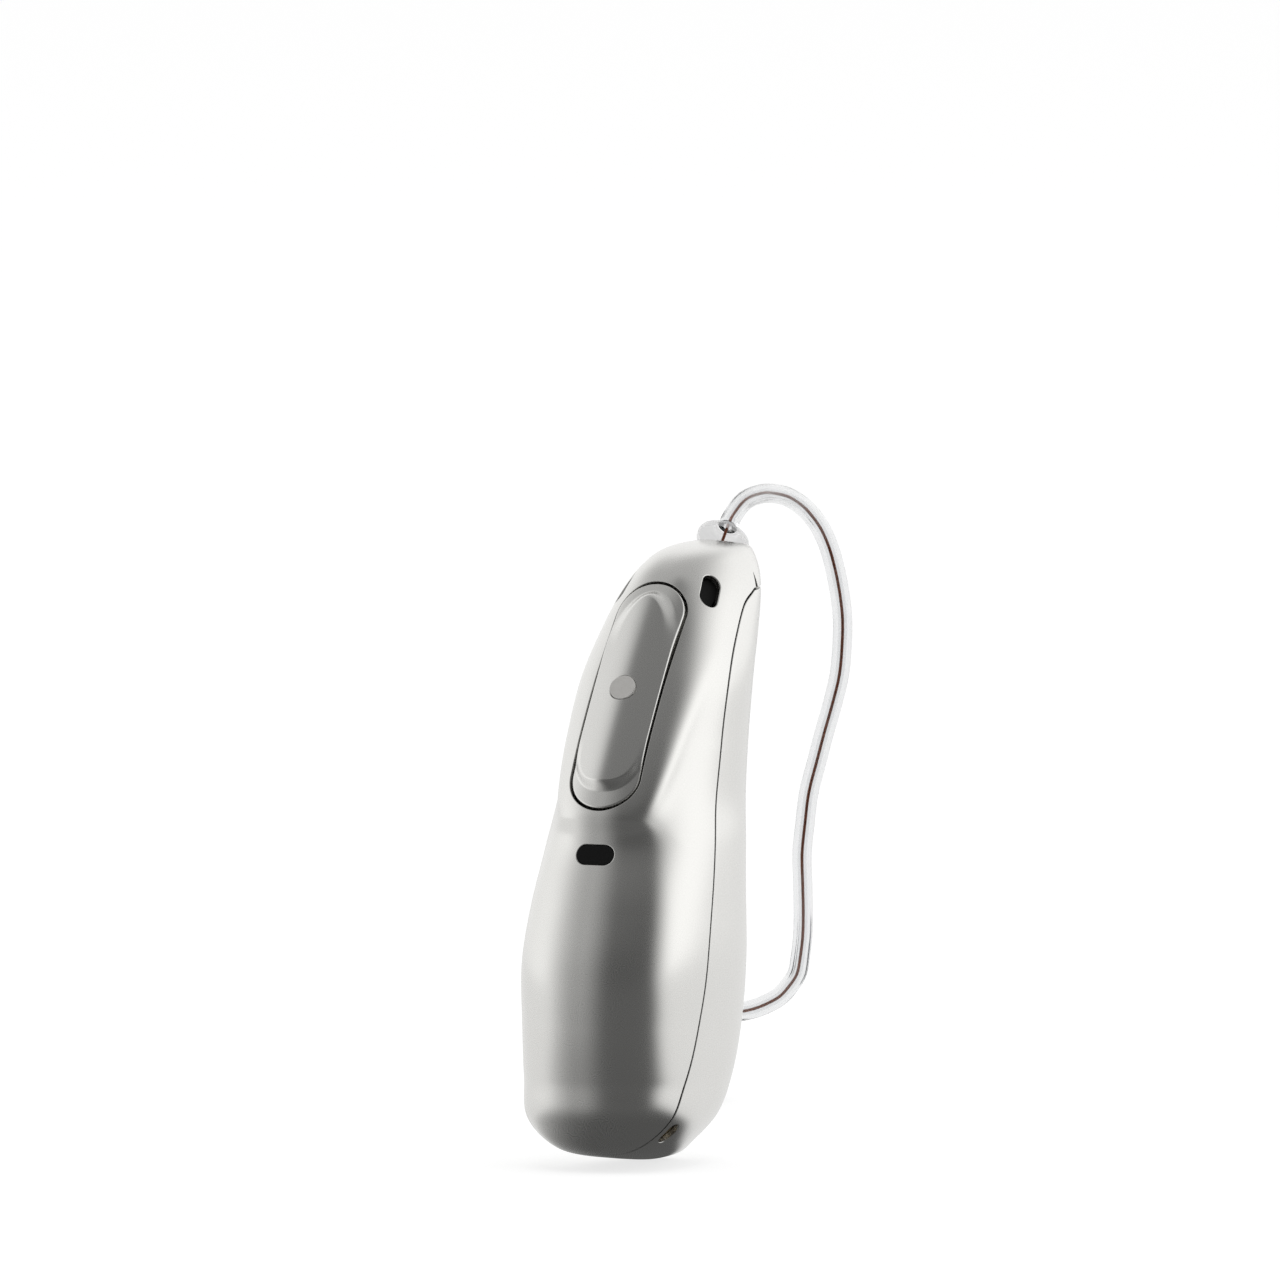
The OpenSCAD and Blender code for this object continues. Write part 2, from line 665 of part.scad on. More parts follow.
// The largest radius for the housing's height, beside the one for its depth
cell_high_share = 0.163;
cell_y = cell_y_share * body_d;
cell_z = cell_z_share * body_h;
cell_r = min(body_d / 2 - wall - cell_gap, cell_high_share * body_h);
cell_t = body_w - 2 * wall - 2 * cell_side_gap;
cradle_t = 0.35;
cradle_w = 2.6;
mast_w = 1.4;
mast_t = 0.6;
mast_spine_gap = 3.5;
mast_ear_gap = 0.35;
mast_root_h = 0.77;
mast_sill_h = 1.22;
mast_count = 9;
post_gap = 0.4;
post_w = 1.1;
post_y = front_mic_end + post_gap;
mast_top = front_mic_z - mic_w / 2 - boot_t - fit;
mast_low = cell_z + cell_r + fit + cradle_t - mast_root_h;
window_low = mast_low + mast_sill_h;
function under_button(z) =
    rocker_mid[0] + (shelf_depth + shelf_t / 2 + (z - rocker_mid[1]) * sin(lean)) / cos(lean);
function mast_left(z) = max(spine_y(z) + mast_spine_gap, under_button(z));
function mast_right(z) = ear_y(z) - wall - mast_ear_gap;
function mast_outline(low, high, in) =
    let (levels = [for (i = [0:mast_count]) low + (high - low) * i / mast_count])
    concat([for (z = levels) [mast_left(z) + in, z]],
        [for (i = [mast_count:-1:0]) [mast_right(levels[i]) - in, levels[i]]]);
module along_cell(h, r) {
    translate([0, cell_y, cell_z])
        rotate([0, 90, 0])
            cylinder(h = h, r = r, center = true);
}
module pin_line(h, r) {
    in_rocker()
        translate([0, 0, -pivot_depth])
            rotate([0, 90, 0])
                cylinder(h = h, r = r, center = true);
}
// Height of the socket's rear face over a place of the post
socket_floor = plug_seat - (socket_end + fit) * plug_out;
function post_top(y) = socket_floor[2] - (y - socket_floor[1]) * tan(plug_lean);
module chassis() {
    color("dimgray")
        difference() {
            union() {
                along_cell(cradle_w, cell_r + fit + cradle_t);
                difference() {
                    across(mast_outline(mast_low, mast_top, 0), mast_w);
                    across(mast_outline(window_low, mast_top - mast_t, mast_t), mast_w + over);
                }
                across([[post_y, mast_top - mast_t], [post_y + post_w, mast_top - mast_t],
                    [post_y + post_w, post_top(post_y + post_w)], [post_y, post_top(post_y)]],
                    mast_w);
                in_rocker() {
                    block(board_w, board_l, -shelf_end, -shelf_depth - fit);
                    block(2 * (ear_in + ear_t), ear_w, -shelf_end, -shelf_depth - fit);
                    for (side = [-1, 1])
                        translate([side * (ear_in + ear_t / 2), 0, 0])
                            block(ear_t, ear_w, -shelf_end, -pivot_depth + ear_rise);
                }
                at_rear_slot()
                    block(mast_w, mic_w, -mast_spine_gap - mast_t / 2,
                        -rear_boot_depth - mic_t - 2 * boot_t - fit);
            }
            along_cell(cradle_w + over, cell_r + fit);
            pin_line(2 * body_w, pin_r + fit);
        }
}
module battery_cell() {
    color("gainsboro")
        along_cell(cell_t, cell_r);
}
tab_t = 0.12;
tab_w = 1.5;
tab_rise = 0.15;
tab_start_share = 0.365;
tab_low = cell_z + tab_start_share * cell_r;
circuit_t = 0.4;
module battery_tabs() {
    color("goldenrod")
        both_sides()
            translate([0, cell_y - tab_w / 2, 0]) {
                translate([cell_t / 2 + fit, 0, tab_low])
                    cube([tab_t, tab_w, window_low + 2 * tab_rise - tab_low]);
                translate([circuit_t / 2 + fit, 0, window_low + tab_rise])
                    cube([(cell_t - circuit_t) / 2 + tab_t, tab_w, tab_rise]);
            }
}

// Circuit board in the window of the mast, with its parts
module circuit_board() {
    color("darkgreen")
        across(mast_outline(window_low + fit, mast_top - mast_t - fit, mast_t + fit), circuit_t);
}
// A box on the board: side of the board, place as shares of body_d and body_h, size
module on_board(side, y_share, z_share, y, z, t) {
    translate([side * (circuit_t / 2 + fit + t / 2) - t / 2, y_share * body_d - y / 2,
        z_share * body_h - z / 2])
        cube([t, y, z]);
}
processor_share = 0.667;
processor_w = processor_share * cell_r;
processor_t = 0.7;
module sound_processor() {
    color("black")
        on_board(1, 0.045, 0.575, processor_w, processor_w, processor_t);
}
// Small parts: side, place as shares of body_d and body_h, sizes as shares of the processor's
chip_shares = [[1, 0.16, 0.68, 0.56, 0.44, 0.7], [1, 0.21, 0.745, 0.44, 0.28, 0.6],
    [1, 0.02, 0.475, 0.69, 0.31, 0.7], [1, 0.195, 0.475, 0.31, 0.19, 0.6],
    [-1, 0.06, 0.475, 0.5, 0.38, 0.7], [-1, 0.09, 0.62, 0.38, 0.5, 0.6]];
module board_chips() {
    color("dimgray")
        for (s = chip_shares)
            on_board(s[0], s[1], s[2], s[3] * processor_w, s[4] * processor_w, s[5] * processor_t);
}
antenna_y_share = 0.1;
antenna_z_share = 0.59;
antenna_long_share = 0.17;
antenna_wide_share = 0.3;
antenna_l = antenna_long_share * body_h;
antenna_w = antenna_wide_share * body_d;
antenna_line_w = 0.35;
antenna_t = 0.12;
module radio_antenna() {
    color("peru")
        difference() {
            on_board(-1, antenna_y_share, antenna_z_share, antenna_w, antenna_l, antenna_t);
            on_board(-1, antenna_y_share, antenna_z_share, antenna_w - 2 * antenna_line_w,
                antenna_l - 2 * antenna_line_w, body_w);
        }
}

// Microphones, their rubber boots and their screens
module front_mic_space(grow) {
    translate([-mic_l / 2 - grow, front_mic_y - mic_t / 2 - grow, front_mic_z - mic_w / 2 - grow])
        cube([mic_l + 2 * grow, mic_t + 2 * grow, mic_w + 2 * grow]);
}
module rear_mic_space(grow) {
    at_rear_slot()
        block(mic_l + 2 * grow, mic_w + 2 * grow, -rear_boot_depth - boot_t - mic_t - grow,
            -rear_boot_depth - boot_t + grow);
}
module front_microphone() {
    color("silver")
        front_mic_space(-fit);
}
module rear_microphone() {
    color("silver")
        rear_mic_space(-fit);
}
arm_start = screen_depth + screen_t + bay;
module front_arms(r, start, end) {
    both_sides()
        at_front_slot()
            translate([0, 0, -end])
                cylinder(h = end - start, r = r);
}
module front_mic_boot() {
    color("dimgray")
        difference() {
            union() {
                front_mic_space(boot_t);
                front_arms(arm_r, arm_start, arm_l);
            }
            front_mic_space(0);
            front_arms(channel_r, 0, arm_l + boot_t);
        }
}
module rear_mic_boot() {
    color("dimgray")
        difference() {
            union() {
                rear_mic_space(boot_t);
                at_rear_slot()
                    translate([0, 0, -rear_boot_depth - boot_t / 2])
                        cylinder(h = rear_boot_depth + boot_t / 2 - arm_start, r = arm_r);
            }
            rear_mic_space(0);
            at_rear_slot()
                translate([0, 0, -rear_boot_depth - 2 * boot_t])
                    cylinder(h = rear_boot_depth + 2 * boot_t, r = channel_r);
        }
}
module front_mic_screen_right() {
    color("black")
        at_front_slot()
            slot_screen();
}
module front_mic_screen_left() {
    mirror([1, 0, 0])
        front_mic_screen_right();
}
module rear_mic_screen() {
    color("black")
        at_rear_slot()
            rotate(90)
                slot_screen();
}

// Pivot, switches and light under the button
module rocker_pins() {
    color("silver")
        for (side = [-1, 1])
            in_rocker()
                translate([side * (lug_in + ear_in + ear_t) / 2, 0, -pivot_depth])
                    rotate([0, 90, 0])
                        cylinder(h = ear_in + ear_t - lug_in, r = pin_r, center = true);
}
module switch_board() {
    color("darkgreen")
        in_rocker()
            block(board_w, board_l, -shelf_depth, -board_depth);
}
module switch_bases() {
    color("gray")
        in_rocker()
            for (end = [-1, 1])
                translate([0, end * switch_arm, 0])
                    block(press_base_w, press_base_w, -board_depth + fit / 2,
                        -board_depth + press_base_t);
}
press_skin = 0.06;
press_turns = [0:9:90];
module switch_dome(end) {
    color("silver")
        in_rocker()
            translate([0, end * switch_arm, -board_depth + press_base_t + fit / 2])
                rotate_extrude()
                    polygon(concat(
                        [for (a = press_turns) [press_r * cos(a), (press_rise - fit / 2) * sin(a)]],
                        [for (a = press_turns) [(press_r - press_skin) * sin(a),
                            (press_rise - fit / 2 - press_skin) * cos(a)]]));
}
module upper_switch_dome() {
    switch_dome(1);
}
module lower_switch_dome() {
    switch_dome(-1);
}
module status_led() {
    color("white")
        in_rocker()
            block(led_w, led_l, -board_depth + fit / 2, -led_depth);
}

// The button: rings of its section from one round end to the other
button_l = rocker_l - rocker_gap;
end_angles = [82, 68, 54, 40, 27, 13];
straight_count = 14;
top_count = 10;
function button_ring(u, half) = concat(
    [for (k = [0:top_count])
        let (x = half * (2 * k / top_count - 1)) [x, u, rocker_top(x, u)]],
    [[half, u, -rocker_t], [-half, u, -rocker_t]]);
function end_ring(end, a) =
    let (r = rocker_w / 2) button_ring(end * (button_l / 2 - r + r * sin(a)), r * cos(a));
button_rings = concat([for (a = end_angles) end_ring(-1, a)],
    [for (k = [0:straight_count])
        button_ring((button_l - rocker_w) * (k / straight_count - 0.5), rocker_w / 2)],
    [for (i = [len(end_angles) - 1:-1:0]) end_ring(1, end_angles[i])]);
module rocker_button() {
    color("silver")
        in_rocker()
            difference() {
                union() {
                    skin(button_rings);
                    for (side = [-1, 1])
                        translate([side * (lug_in + lug_t / 2), 0, 0]) {
                            block(lug_t, 2 * lug_r, -pivot_depth, -rocker_t + over);
                            translate([0, 0, -pivot_depth])
                                rotate([0, 90, 0])
                                    cylinder(h = lug_t, r = lug_r, center = true);
                        }
                    for (end = [-1, 1])
                        translate([0, end * switch_arm, -press_depth + press_gap])
                            cylinder(h = press_depth - press_gap - rocker_t + over, r = nub_r);
                }
                translate([0, 0, pipe_step])
                    cylinder(h = ridge_h + over, r = light_r + fit);
                translate([0, 0, -rocker_t - over])
                    cylinder(h = rocker_t + over + ridge_h, r = pipe_r + fit);
                translate([0, 0, -pivot_depth])
                    rotate([0, 90, 0])
                        cylinder(h = body_w, r = pin_r + pin_fit, center = true);
            }
}
pipe_end = 1.4;
module light_pipe() {
    color("ivory")
        in_rocker() {
            translate([0, 0, pipe_step + fit])
                cylinder(h = ridge_h - pipe_step - fit, r = light_r);
            translate([0, 0, -pipe_end])
                cylinder(h = pipe_end + pipe_step + 2 * fit, r = pipe_r);
        }
}

// Charging contacts in their ports, and the strips from them up to the board
flange_t = 0.25;
module charge_contact_right() {
    color("gold")
        at_port() {
            translate([0, 0, -port_depth - contact_l])
                cylinder(h = contact_l, r = contact_r);
            stadium(port_l - 2 * fit, port_w - 2 * fit, -wall, flange_t - wall);
        }
}
module charge_contact_left() {
    mirror([1, 0, 0])
        charge_contact_right();
}
lead_t = 0.15;
lead_w = 0.9;
lead_foot_w = 0.42;
lead_bend_share = 0.135;
lead_foot_share = -0.217;
port_y = port_y_share * body_d;
port_z = port_z_share * body_h;
contact_end = [side_x(port_y, port_z), port_y, port_z]
    - (port_depth + contact_l + fit) * side_normal(port_y, port_z);
module charge_leads() {
    x = cell_t / 2 + bay;
    y = contact_end[1] - lead_w / 2;
    bend = lead_bend_share * body_h;
    foot = lead_foot_share * body_d;
    high = window_low + tab_rise;
    color("goldenrod")
        both_sides() {
            translate([0, y + lead_w, 0])
                rotate([90, 0, 0])
                    linear_extrude(lead_w)
                        polygon([[contact_end[0] - lead_t, contact_end[2]],
                            [contact_end[0], contact_end[2] + lead_t],
                            [x + lead_t, bend], [x + lead_t, bend + lead_t], [x, bend + lead_t],
                            [x, bend]]);
            translate([x, y, bend])
                cube([lead_t, lead_w, high + lead_w - bend]);
            translate([x, y, high])
                cube([lead_t, foot - y, lead_w]);
            translate([circuit_t / 2 + fit, foot - lead_foot_w, high])
                cube([x + lead_t - circuit_t / 2 - fit, lead_foot_w, lead_t]);
        }
}

// Plug, its socket and the pin that holds it
module lock_line(h, r) {
    translate(lock_at)
        rotate([0, 90, 0])
            cylinder(h = h, r = r, center = true);
}
pad_shares = [-0.3, 0, 0.3];
pad_deep = stem_l + fit;
module receiver_socket() {
    color("black")
        difference() {
            in_plug()
                difference() {
                    block(socket_w, socket_t, -socket_start - socket_l, -socket_start);
                    block(stem_w + 2 * fit, stem_t + 2 * fit, -pad_deep - plug_pad_t - fit, over);
                }
            lock_line(body_w, lock_r + fit);
        }
}
module contact_pads(low, high) {
    color("gold")
        in_plug()
            for (s = pad_shares)
                translate([s * stem_w, 0, 0])
                    block(plug_pad_w, stem_t / 2, low, high);
}
module socket_contacts() {
    contact_pads(-pad_deep - plug_pad_t, -pad_deep);
}
module plug_contacts() {
    contact_pads(-stem_l, plug_pad_t - stem_l);
}
core_gap = 0.05;
// Outline of the grip across the cap: shares of collar_r and of holder_h
fin_shares = [[-0.85, 0.3], [-0.23, 0.98], [0.27, 0.98], [0.58, 0.86], [0.77, 0.6], [0.85, 0.3]];
module wire_plug() {
    color("whitesmoke")
        difference() {
            in_plug()
                difference() {
                    union() {
                        translate([0, 0, -collar_sink])
                            cylinder(h = collar_sink + collar_h / 2, r = collar_r);
                        translate([0, 0, collar_h / 2])
                            cylinder(h = collar_h / 2, r1 = collar_r, r2 = collar_r - collar_h / 2);
                        cylinder(h = holder_h, r = holder_r);
                        translate([0, fin_t / 2, 0])
                            rotate([90, 0, 0])
                                linear_extrude(fin_t)
                                    polygon([for (s = fin_shares) [s[0] * collar_r, s[1] * holder_h]]);
                        block(stem_w, stem_t, -stem_l + plug_pad_t + fit, 0);
                    }
                    translate([0, 0, holder_h - core_in - bay])
                        cylinder(h = core_in + bay + over, r = conductor_r + core_gap);
                }
            lock_line(body_w, lock_r + fit);
        }
}
module plug_lock_pin() {
    color("silver")
        lock_line(2 * lock_half, lock_r);
}
module wire_tube() {
    outer = tube_rings(tube_route, tube_r, tube_sides);
    inner = tube_rings(tube_route, tube_bore_r, tube_sides);
    color("whitesmoke")
        skin(concat(outer, [for (i = [len(inner) - 1:-1:0]) inner[i]]), true);
}
module wire_conductors() {
    color("sienna")
        skin(tube_rings(core_route, conductor_r, core_sides));
}

// Speaker, from the wire's end to the dome
module rounded_block(x, y, r, low, high) {
    hull()
        for (i = [-1, 1], j = [-1, 1])
            translate([i * (x / 2 - r), j * (y / 2 - r), low])
                cylinder(h = high - low, r = r);
}
module speaker_boot() {
    color("dimgray")
        in_speaker()
            difference() {
                cylinder(h = relief_l - fit, r1 = relief_r, r2 = relief_end_r);
                translate([0, 0, -over])
                    cylinder(h = over + core_in + bay, r = conductor_r + core_gap);
            }
}
module speaker_case() {
    color("dimgray")
        in_speaker()
            difference() {
                rounded_block(case_w, case_h, case_round, case_start, case_end);
                rounded_block(case_w - 2 * case_wall, case_h - 2 * case_wall,
                    case_round - case_wall, case_start + case_wall, case_end - case_wall);
                translate([0, 0, case_end - case_wall - over])
                    cylinder(h = case_wall + 2 * over, r = spout_bore_r);
            }
}
capsule_in = case_wall + fit;
module speaker_capsule() {
    color("silver")
        in_speaker()
            rounded_block(case_w - 2 * capsule_in, case_h - 2 * capsule_in,
                case_round - capsule_in, case_start + capsule_in, case_end - capsule_in);
}
module speaker_spout() {
    color("dimgray")
        in_speaker()
            translate([0, 0, case_end + fit])
                difference() {
                    cylinder(h = spout_l - fit, r = spout_r);
                    translate([0, 0, -over])
                        cylinder(h = spout_l + 2 * over, r = spout_bore_r);
                }
}
module wax_filter() {
    color("white")
        in_speaker()
            translate([0, 0, spout_end - filter_l])
                difference() {
                    cylinder(h = filter_l, r = spout_bore_r - fit);
                    translate([0, 0, -over])
                        cylinder(h = filter_l + 2 * over, r = filter_hole_r);
                }
}
dome_gap_share = 0.4;
dome_mid = spout_end + dome_gap_share * dome_t - dome_h + dome_t;
dome_turns = 14;
function dome_arc(r, h, from, to) = [for (i = [0:dome_turns])
    let (a = from + (to - from) * i / dome_turns) [r * sin(a), dome_mid + h * cos(a)]];
module ear_dome() {
    hole = asin(dome_hole_r / dome_r);
    color("gainsboro")
        in_speaker()
            rotate_extrude()
                polygon(concat(
                    dome_arc(dome_r, dome_h, hole, dome_rim_angle),
                    dome_arc(dome_r - dome_t, dome_h - dome_t, dome_rim_angle,
                        asin(dome_hub_r / (dome_r - dome_t))),
                    [[dome_hub_r, spout_end - hub_l],
                        [spout_r + dome_bore_gap, spout_end - hub_l],
                        [spout_r + dome_bore_gap, spout_end + fit],
                        [dome_hole_r, spout_end + fit]]));
}

back_shell();
front_shell();
shell_seal();
chassis();
battery_cell();
battery_tabs();
circuit_board();
sound_processor();
board_chips();
radio_antenna();
front_microphone();
rear_microphone();
front_mic_boot();
rear_mic_boot();
front_mic_screen_left();
front_mic_screen_right();
rear_mic_screen();
rocker_pins();
switch_board();
switch_bases();
upper_switch_dome();
lower_switch_dome();
status_led();
charge_contact_left();
charge_contact_right();
charge_leads();
receiver_socket();
socket_contacts();
wire_plug();
plug_contacts();
plug_lock_pin();
wire_tube();
wire_conductors();
speaker_boot();
speaker_case();
speaker_capsule();
speaker_spout();
wax_filter();
rocker_button();
light_pipe();
ear_dome();
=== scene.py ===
import json
import math
import bpy
import numpy as np
from mathutils import Matrix, Vector

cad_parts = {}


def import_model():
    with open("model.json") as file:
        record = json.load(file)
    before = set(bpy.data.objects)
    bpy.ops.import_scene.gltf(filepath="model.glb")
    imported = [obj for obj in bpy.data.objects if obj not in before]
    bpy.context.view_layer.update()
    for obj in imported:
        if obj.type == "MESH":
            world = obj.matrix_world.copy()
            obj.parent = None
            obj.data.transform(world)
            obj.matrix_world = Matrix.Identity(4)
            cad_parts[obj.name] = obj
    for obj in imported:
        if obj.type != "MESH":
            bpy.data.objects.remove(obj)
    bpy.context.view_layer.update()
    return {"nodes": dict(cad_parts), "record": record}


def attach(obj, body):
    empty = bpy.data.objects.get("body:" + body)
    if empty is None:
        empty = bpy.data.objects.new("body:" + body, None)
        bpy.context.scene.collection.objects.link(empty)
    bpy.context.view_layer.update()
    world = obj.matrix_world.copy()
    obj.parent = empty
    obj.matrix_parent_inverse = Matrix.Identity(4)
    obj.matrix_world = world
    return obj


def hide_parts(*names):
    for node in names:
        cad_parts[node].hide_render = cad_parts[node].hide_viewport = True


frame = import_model()
MM = 0.001

# Sizes of the object in millimetres, in the frame's own place
BODY_H, BODY_D, BODY_W = 29.45, 13.3, 9.2
WALL, PARTING_GAP = 0.8, 0.1
ROCKER_W, ROCKER_GAP, ROCKER_T = 3.5, 0.1, 0.95
LIGHT_R = 0.65
SLOT_L, SLOT_W = 1.95, 1.0
PORT_L, PORT_W = 1.25, 0.9
COLLAR_R, COLLAR_GAP, PLUG_LEAN = 1.3, 0.02, 45
TUBE_R, TUBE_BORE_R, CONDUCTOR_R = 0.475, 0.22, 0.075

# Places on the housing, as shares of its height: the button's two tips and the rear slot
TIPS_AT, REAR_AT = (0.5935, 0.9445), 0.5215
# As shares of its depth and height: front slots and charging ports, and the way their length runs
SLOT_AT, SLOT_ALONG = (0.1565, 0.9315), (-0.16, 0.73, 0.66)
PORT_AT, PORT_ALONG = (-0.41, 0.06), (1, 0.3, 1)

# The hood's step down, the widths over which it falls and is rounded, its reach below the edge,
# and the shares of the depth between which it fades out
HOOD_STEP, HOOD_FALL, HOOD_SOFT, HOOD_REACH = 0.52, 0.6, 0.14, 2.8
HOOD_FADE = (-0.42, 0.2)

# The button's ridge: its height, its drop at the ends, its side slope, the share of the button's
# width over which its crest is rounded, and its width as a share of the button's
RIDGE_H, RIDGE_FALL, RIDGE_SLOPE, RIDGE_CREST, RIDGE_WIDE = 0.8, 0.2, 0.39, 0.14, 1.04
# The ridge's ends, top and bottom: distance of the nose from the button's end, length over
# which the ridge widens to the button's edge, power of that curve, width of the fall
RIDGE_ENDS = ((0.42, 2.9, 1.9, 0.75), (0.85, 2.2, 2.2, 0.38))

# Radii of the rounded rims, and the steps round each
RIM_R, SLOT_RIM_R, BUTTON_RIM_R, WINDOW_RIM_R, RIM_STEPS = 0.04, 0.06, 0.07, 0.03, 3
# The light window: its gap, how far it lies under the ridge, and its depth
WINDOW_GAP, WINDOW_SINK, WINDOW_DEPTH = 0.025, 0.004, 0.3
# How deep the cuts for holes and for the button reach, and a distance that means no cut
CUT_REACH, BUTTON_REACH, NO_CUT = 1.2, 1.5, 9

# The camera of the photograph: its frame is taken as 1280 pixels wide
FRAME_PX, PX_PER_MM, ORIGIN_PX = 1280, 20.7, (650, 1158)
VIEW_AZ, VIEW_EL = math.radians(24), math.radians(5)
TO_RIGHT = (math.cos(VIEW_AZ), math.sin(VIEW_AZ), 0)
TO_FRONT = (math.sin(VIEW_AZ), -math.cos(VIEW_AZ), 0)
CAMERA_FAR, AIM_NEAR, SENSOR, CLIP = 1.5, 2.2, 36, (0.01, 10)


def add_object(name, data):
    """A new object in the scene."""
    ob = bpy.data.objects.new(name, data)
    bpy.context.scene.collection.objects.link(ob)
    return ob


# ---------------------------------------------------------------- camera
def make_camera():
    """The photograph's camera: its lens takes in the whole frame at the object's distance."""
    a, e = VIEW_AZ, VIEW_EL
    right = Vector(TO_RIGHT)
    up = Vector((-math.sin(a) * math.sin(e), math.cos(a) * math.sin(e), math.cos(e)))
    back = Vector((math.sin(a) * math.cos(e), -math.cos(a) * math.cos(e), math.sin(e)))
    across = (FRAME_PX / 2 - ORIGIN_PX[0]) / PX_PER_MM
    high = (ORIGIN_PX[1] - FRAME_PX / 2) / PX_PER_MM
    aim = (right * across + up * high + back * AIM_NEAR) * MM
    data = bpy.data.cameras.new("camera")
    data.sensor_width = SENSOR
    data.lens = SENSOR * CAMERA_FAR / (FRAME_PX / PX_PER_MM * MM)
    data.clip_start, data.clip_end = CLIP
    cam = add_object("camera", data)
    turn = Matrix((right, up, back)).transposed().to_4x4()
    cam.matrix_world = Matrix.Translation(aim + back * CAMERA_FAR) @ turn
    bpy.context.scene.camera = cam
    bpy.context.scene.view_settings.view_transform = "Standard"


make_camera()


# ---------------------------------------------------------------- shader maths
class Sock:
    """A shader socket that adds, multiplies and so on by making Math nodes."""

    def __init__(self, tree, socket):
        self.tree, self.socket = tree, socket

    def node(self, kind, out=0, **inputs):
        """A new node: small letters are its settings, capitals its sockets, first and second
        its sockets by place."""
        n = self.tree.nodes.new(kind)
        places = {"first": 0, "second": 1}
        for key, value in inputs.items():
            if key[0].islower() and key not in places:
                setattr(n, key, value)
                continue
            slot = n.inputs[places.get(key, key.replace("_", " "))]
            if isinstance(value, Sock):
                self.tree.links.new(value.socket, slot)
            else:
                slot.default_value = value
        return Sock(self.tree, n.outputs[out])

    def math(self, op, other=None):
        inputs = {"first": self} if other is None else {"first": self, "second": other}
        return self.node("ShaderNodeMath", operation=op, **inputs)

    def __add__(self, v):
        return self.math("ADD", v)

    def __mul__(self, v):
        return self.math("MULTIPLY", v)

    def __sub__(self, v):
        return self.math("SUBTRACT", v)

    def __truediv__(self, v):
        return self.math("DIVIDE", v)

    def __pow__(self, v):
        return self.math("POWER", v)

    def __rsub__(self, v):
        return (self * -1) + v

    def __rtruediv__(self, v):
        return (self ** -1) * v

    __radd__, __rmul__ = __add__, __mul__

    def dot(self, axis):
        return self.node("ShaderNodeVectorMath", out="Value", operation="DOT_PRODUCT",
                         first=self, second=axis)

    def ramp(self, start, end):
        """0 at start and 1 at end, with a soft step between them."""
        s = ((self - start) / (end - start)).clamp()
        return s * s * (3 - 2 * s)

    def clamp(self, low=0.0, high=1.0):
        return self.math("MAXIMUM", low).math("MINIMUM", high)

    def mix(self, a, b):
        """Colour a where this is 0 and b where it is 1."""
        n = self.tree.nodes.new("ShaderNodeMix")
        n.data_type = "RGBA"
        self.tree.links.new(self.socket, n.inputs["Factor"])
        for name, value in (("A", a), ("B", b)):
            slot = [s for s in n.inputs if s.name == name and s.type == "RGBA"][0]
            if isinstance(value, Sock):
                self.tree.links.new(value.socket, slot)
            else:
                slot.default_value = (*value, 1)
        return Sock(self.tree, [s for s in n.outputs if s.type == "RGBA"][0])


def material(name, build, **constants):
    """A Principled material: constants go on its sockets, build returns the varying inputs."""
    m = bpy.data.materials.new(name)
    m.use_nodes = True
    tree = m.node_tree
    bsdf = tree.nodes["Principled BSDF"]
    for key, value in constants.items():
        bsdf.inputs[key.replace("_", " ")].default_value = value
    place = tree.nodes.new("ShaderNodeTexCoord")
    for key, value in build(Sock(tree, place.outputs["Object"])).items():
        tree.links.new(value.socket, bsdf.inputs[key])
    return m


def noise(place, scale, detail, rough):
    return place.node("ShaderNodeTexNoise", Vector=place, Scale=scale, Detail=detail,
                      Roughness=rough)


def bump(place, height, strength, distance):
    return place.node("ShaderNodeBump", Height=height, Strength=strength, Distance=distance)


PAINT_DARK, PAINT_LIGHT = (0.655, 0.65, 0.63), (0.705, 0.70, 0.68)
# The paint's flakes, unevenness and orange peel: scale, detail and roughness of each noise
FLAKES, CLOUDS, PEEL = (30000, 1, 0.5), (900, 3, 0.6), (9000, 2, 0.6)
# What the flakes and the unevenness change: colour, then roughness round its own level
FLAKE_TONE, CLOUD_TONE = 1.2, 0.3
PAINT_ROUGH, FLAKE_ROUGH, CLOUD_ROUGH = 0.27, 0.06, 0.02
PEEL_STRENGTH, PEEL_DEPTH = 0.12, 0.000003
# Detail and roughness of the grain in plastic and rubber, its spread in roughness, its strength
GRAIN_NOISE, GRAIN_SPREAD, GRAIN_STRENGTH = (3, 0.6), 0.16, 0.25


def paint_nodes(place):
    """Satin metallic paint: fine flakes, a slight unevenness and a trace of orange peel."""
    flake = noise(place, *FLAKES) - 0.5
    cloud = noise(place, *CLOUDS) - 0.5
    tone = (flake * FLAKE_TONE + cloud * CLOUD_TONE + 0.5).clamp()
    return {"Base Color": tone.mix(PAINT_DARK, PAINT_LIGHT),
            "Roughness": (PAINT_ROUGH + flake * FLAKE_ROUGH + cloud * CLOUD_ROUGH).clamp(),
            "Normal": bump(place, noise(place, *PEEL), PEEL_STRENGTH, PEEL_DEPTH)}


def speckled(color, scale, amount, rough, depth=0.00001):
    """Moulded plastic or rubber: a fine grain in colour, roughness and height."""
    def nodes(place):
        grain = noise(place, scale, *GRAIN_NOISE)
        height = (grain * amount + (1 - amount / 2)).clamp(0, 2)
        shade = tuple(c * (1 - amount) for c in color)
        return {"Base Color": grain.clamp().mix(shade, color),
                "Roughness": (grain * GRAIN_SPREAD + (rough - GRAIN_SPREAD / 2)).clamp(),
                "Normal": bump(place, height, GRAIN_STRENGTH, depth)}
    return nodes


METAL = {"Metallic": 1.0}
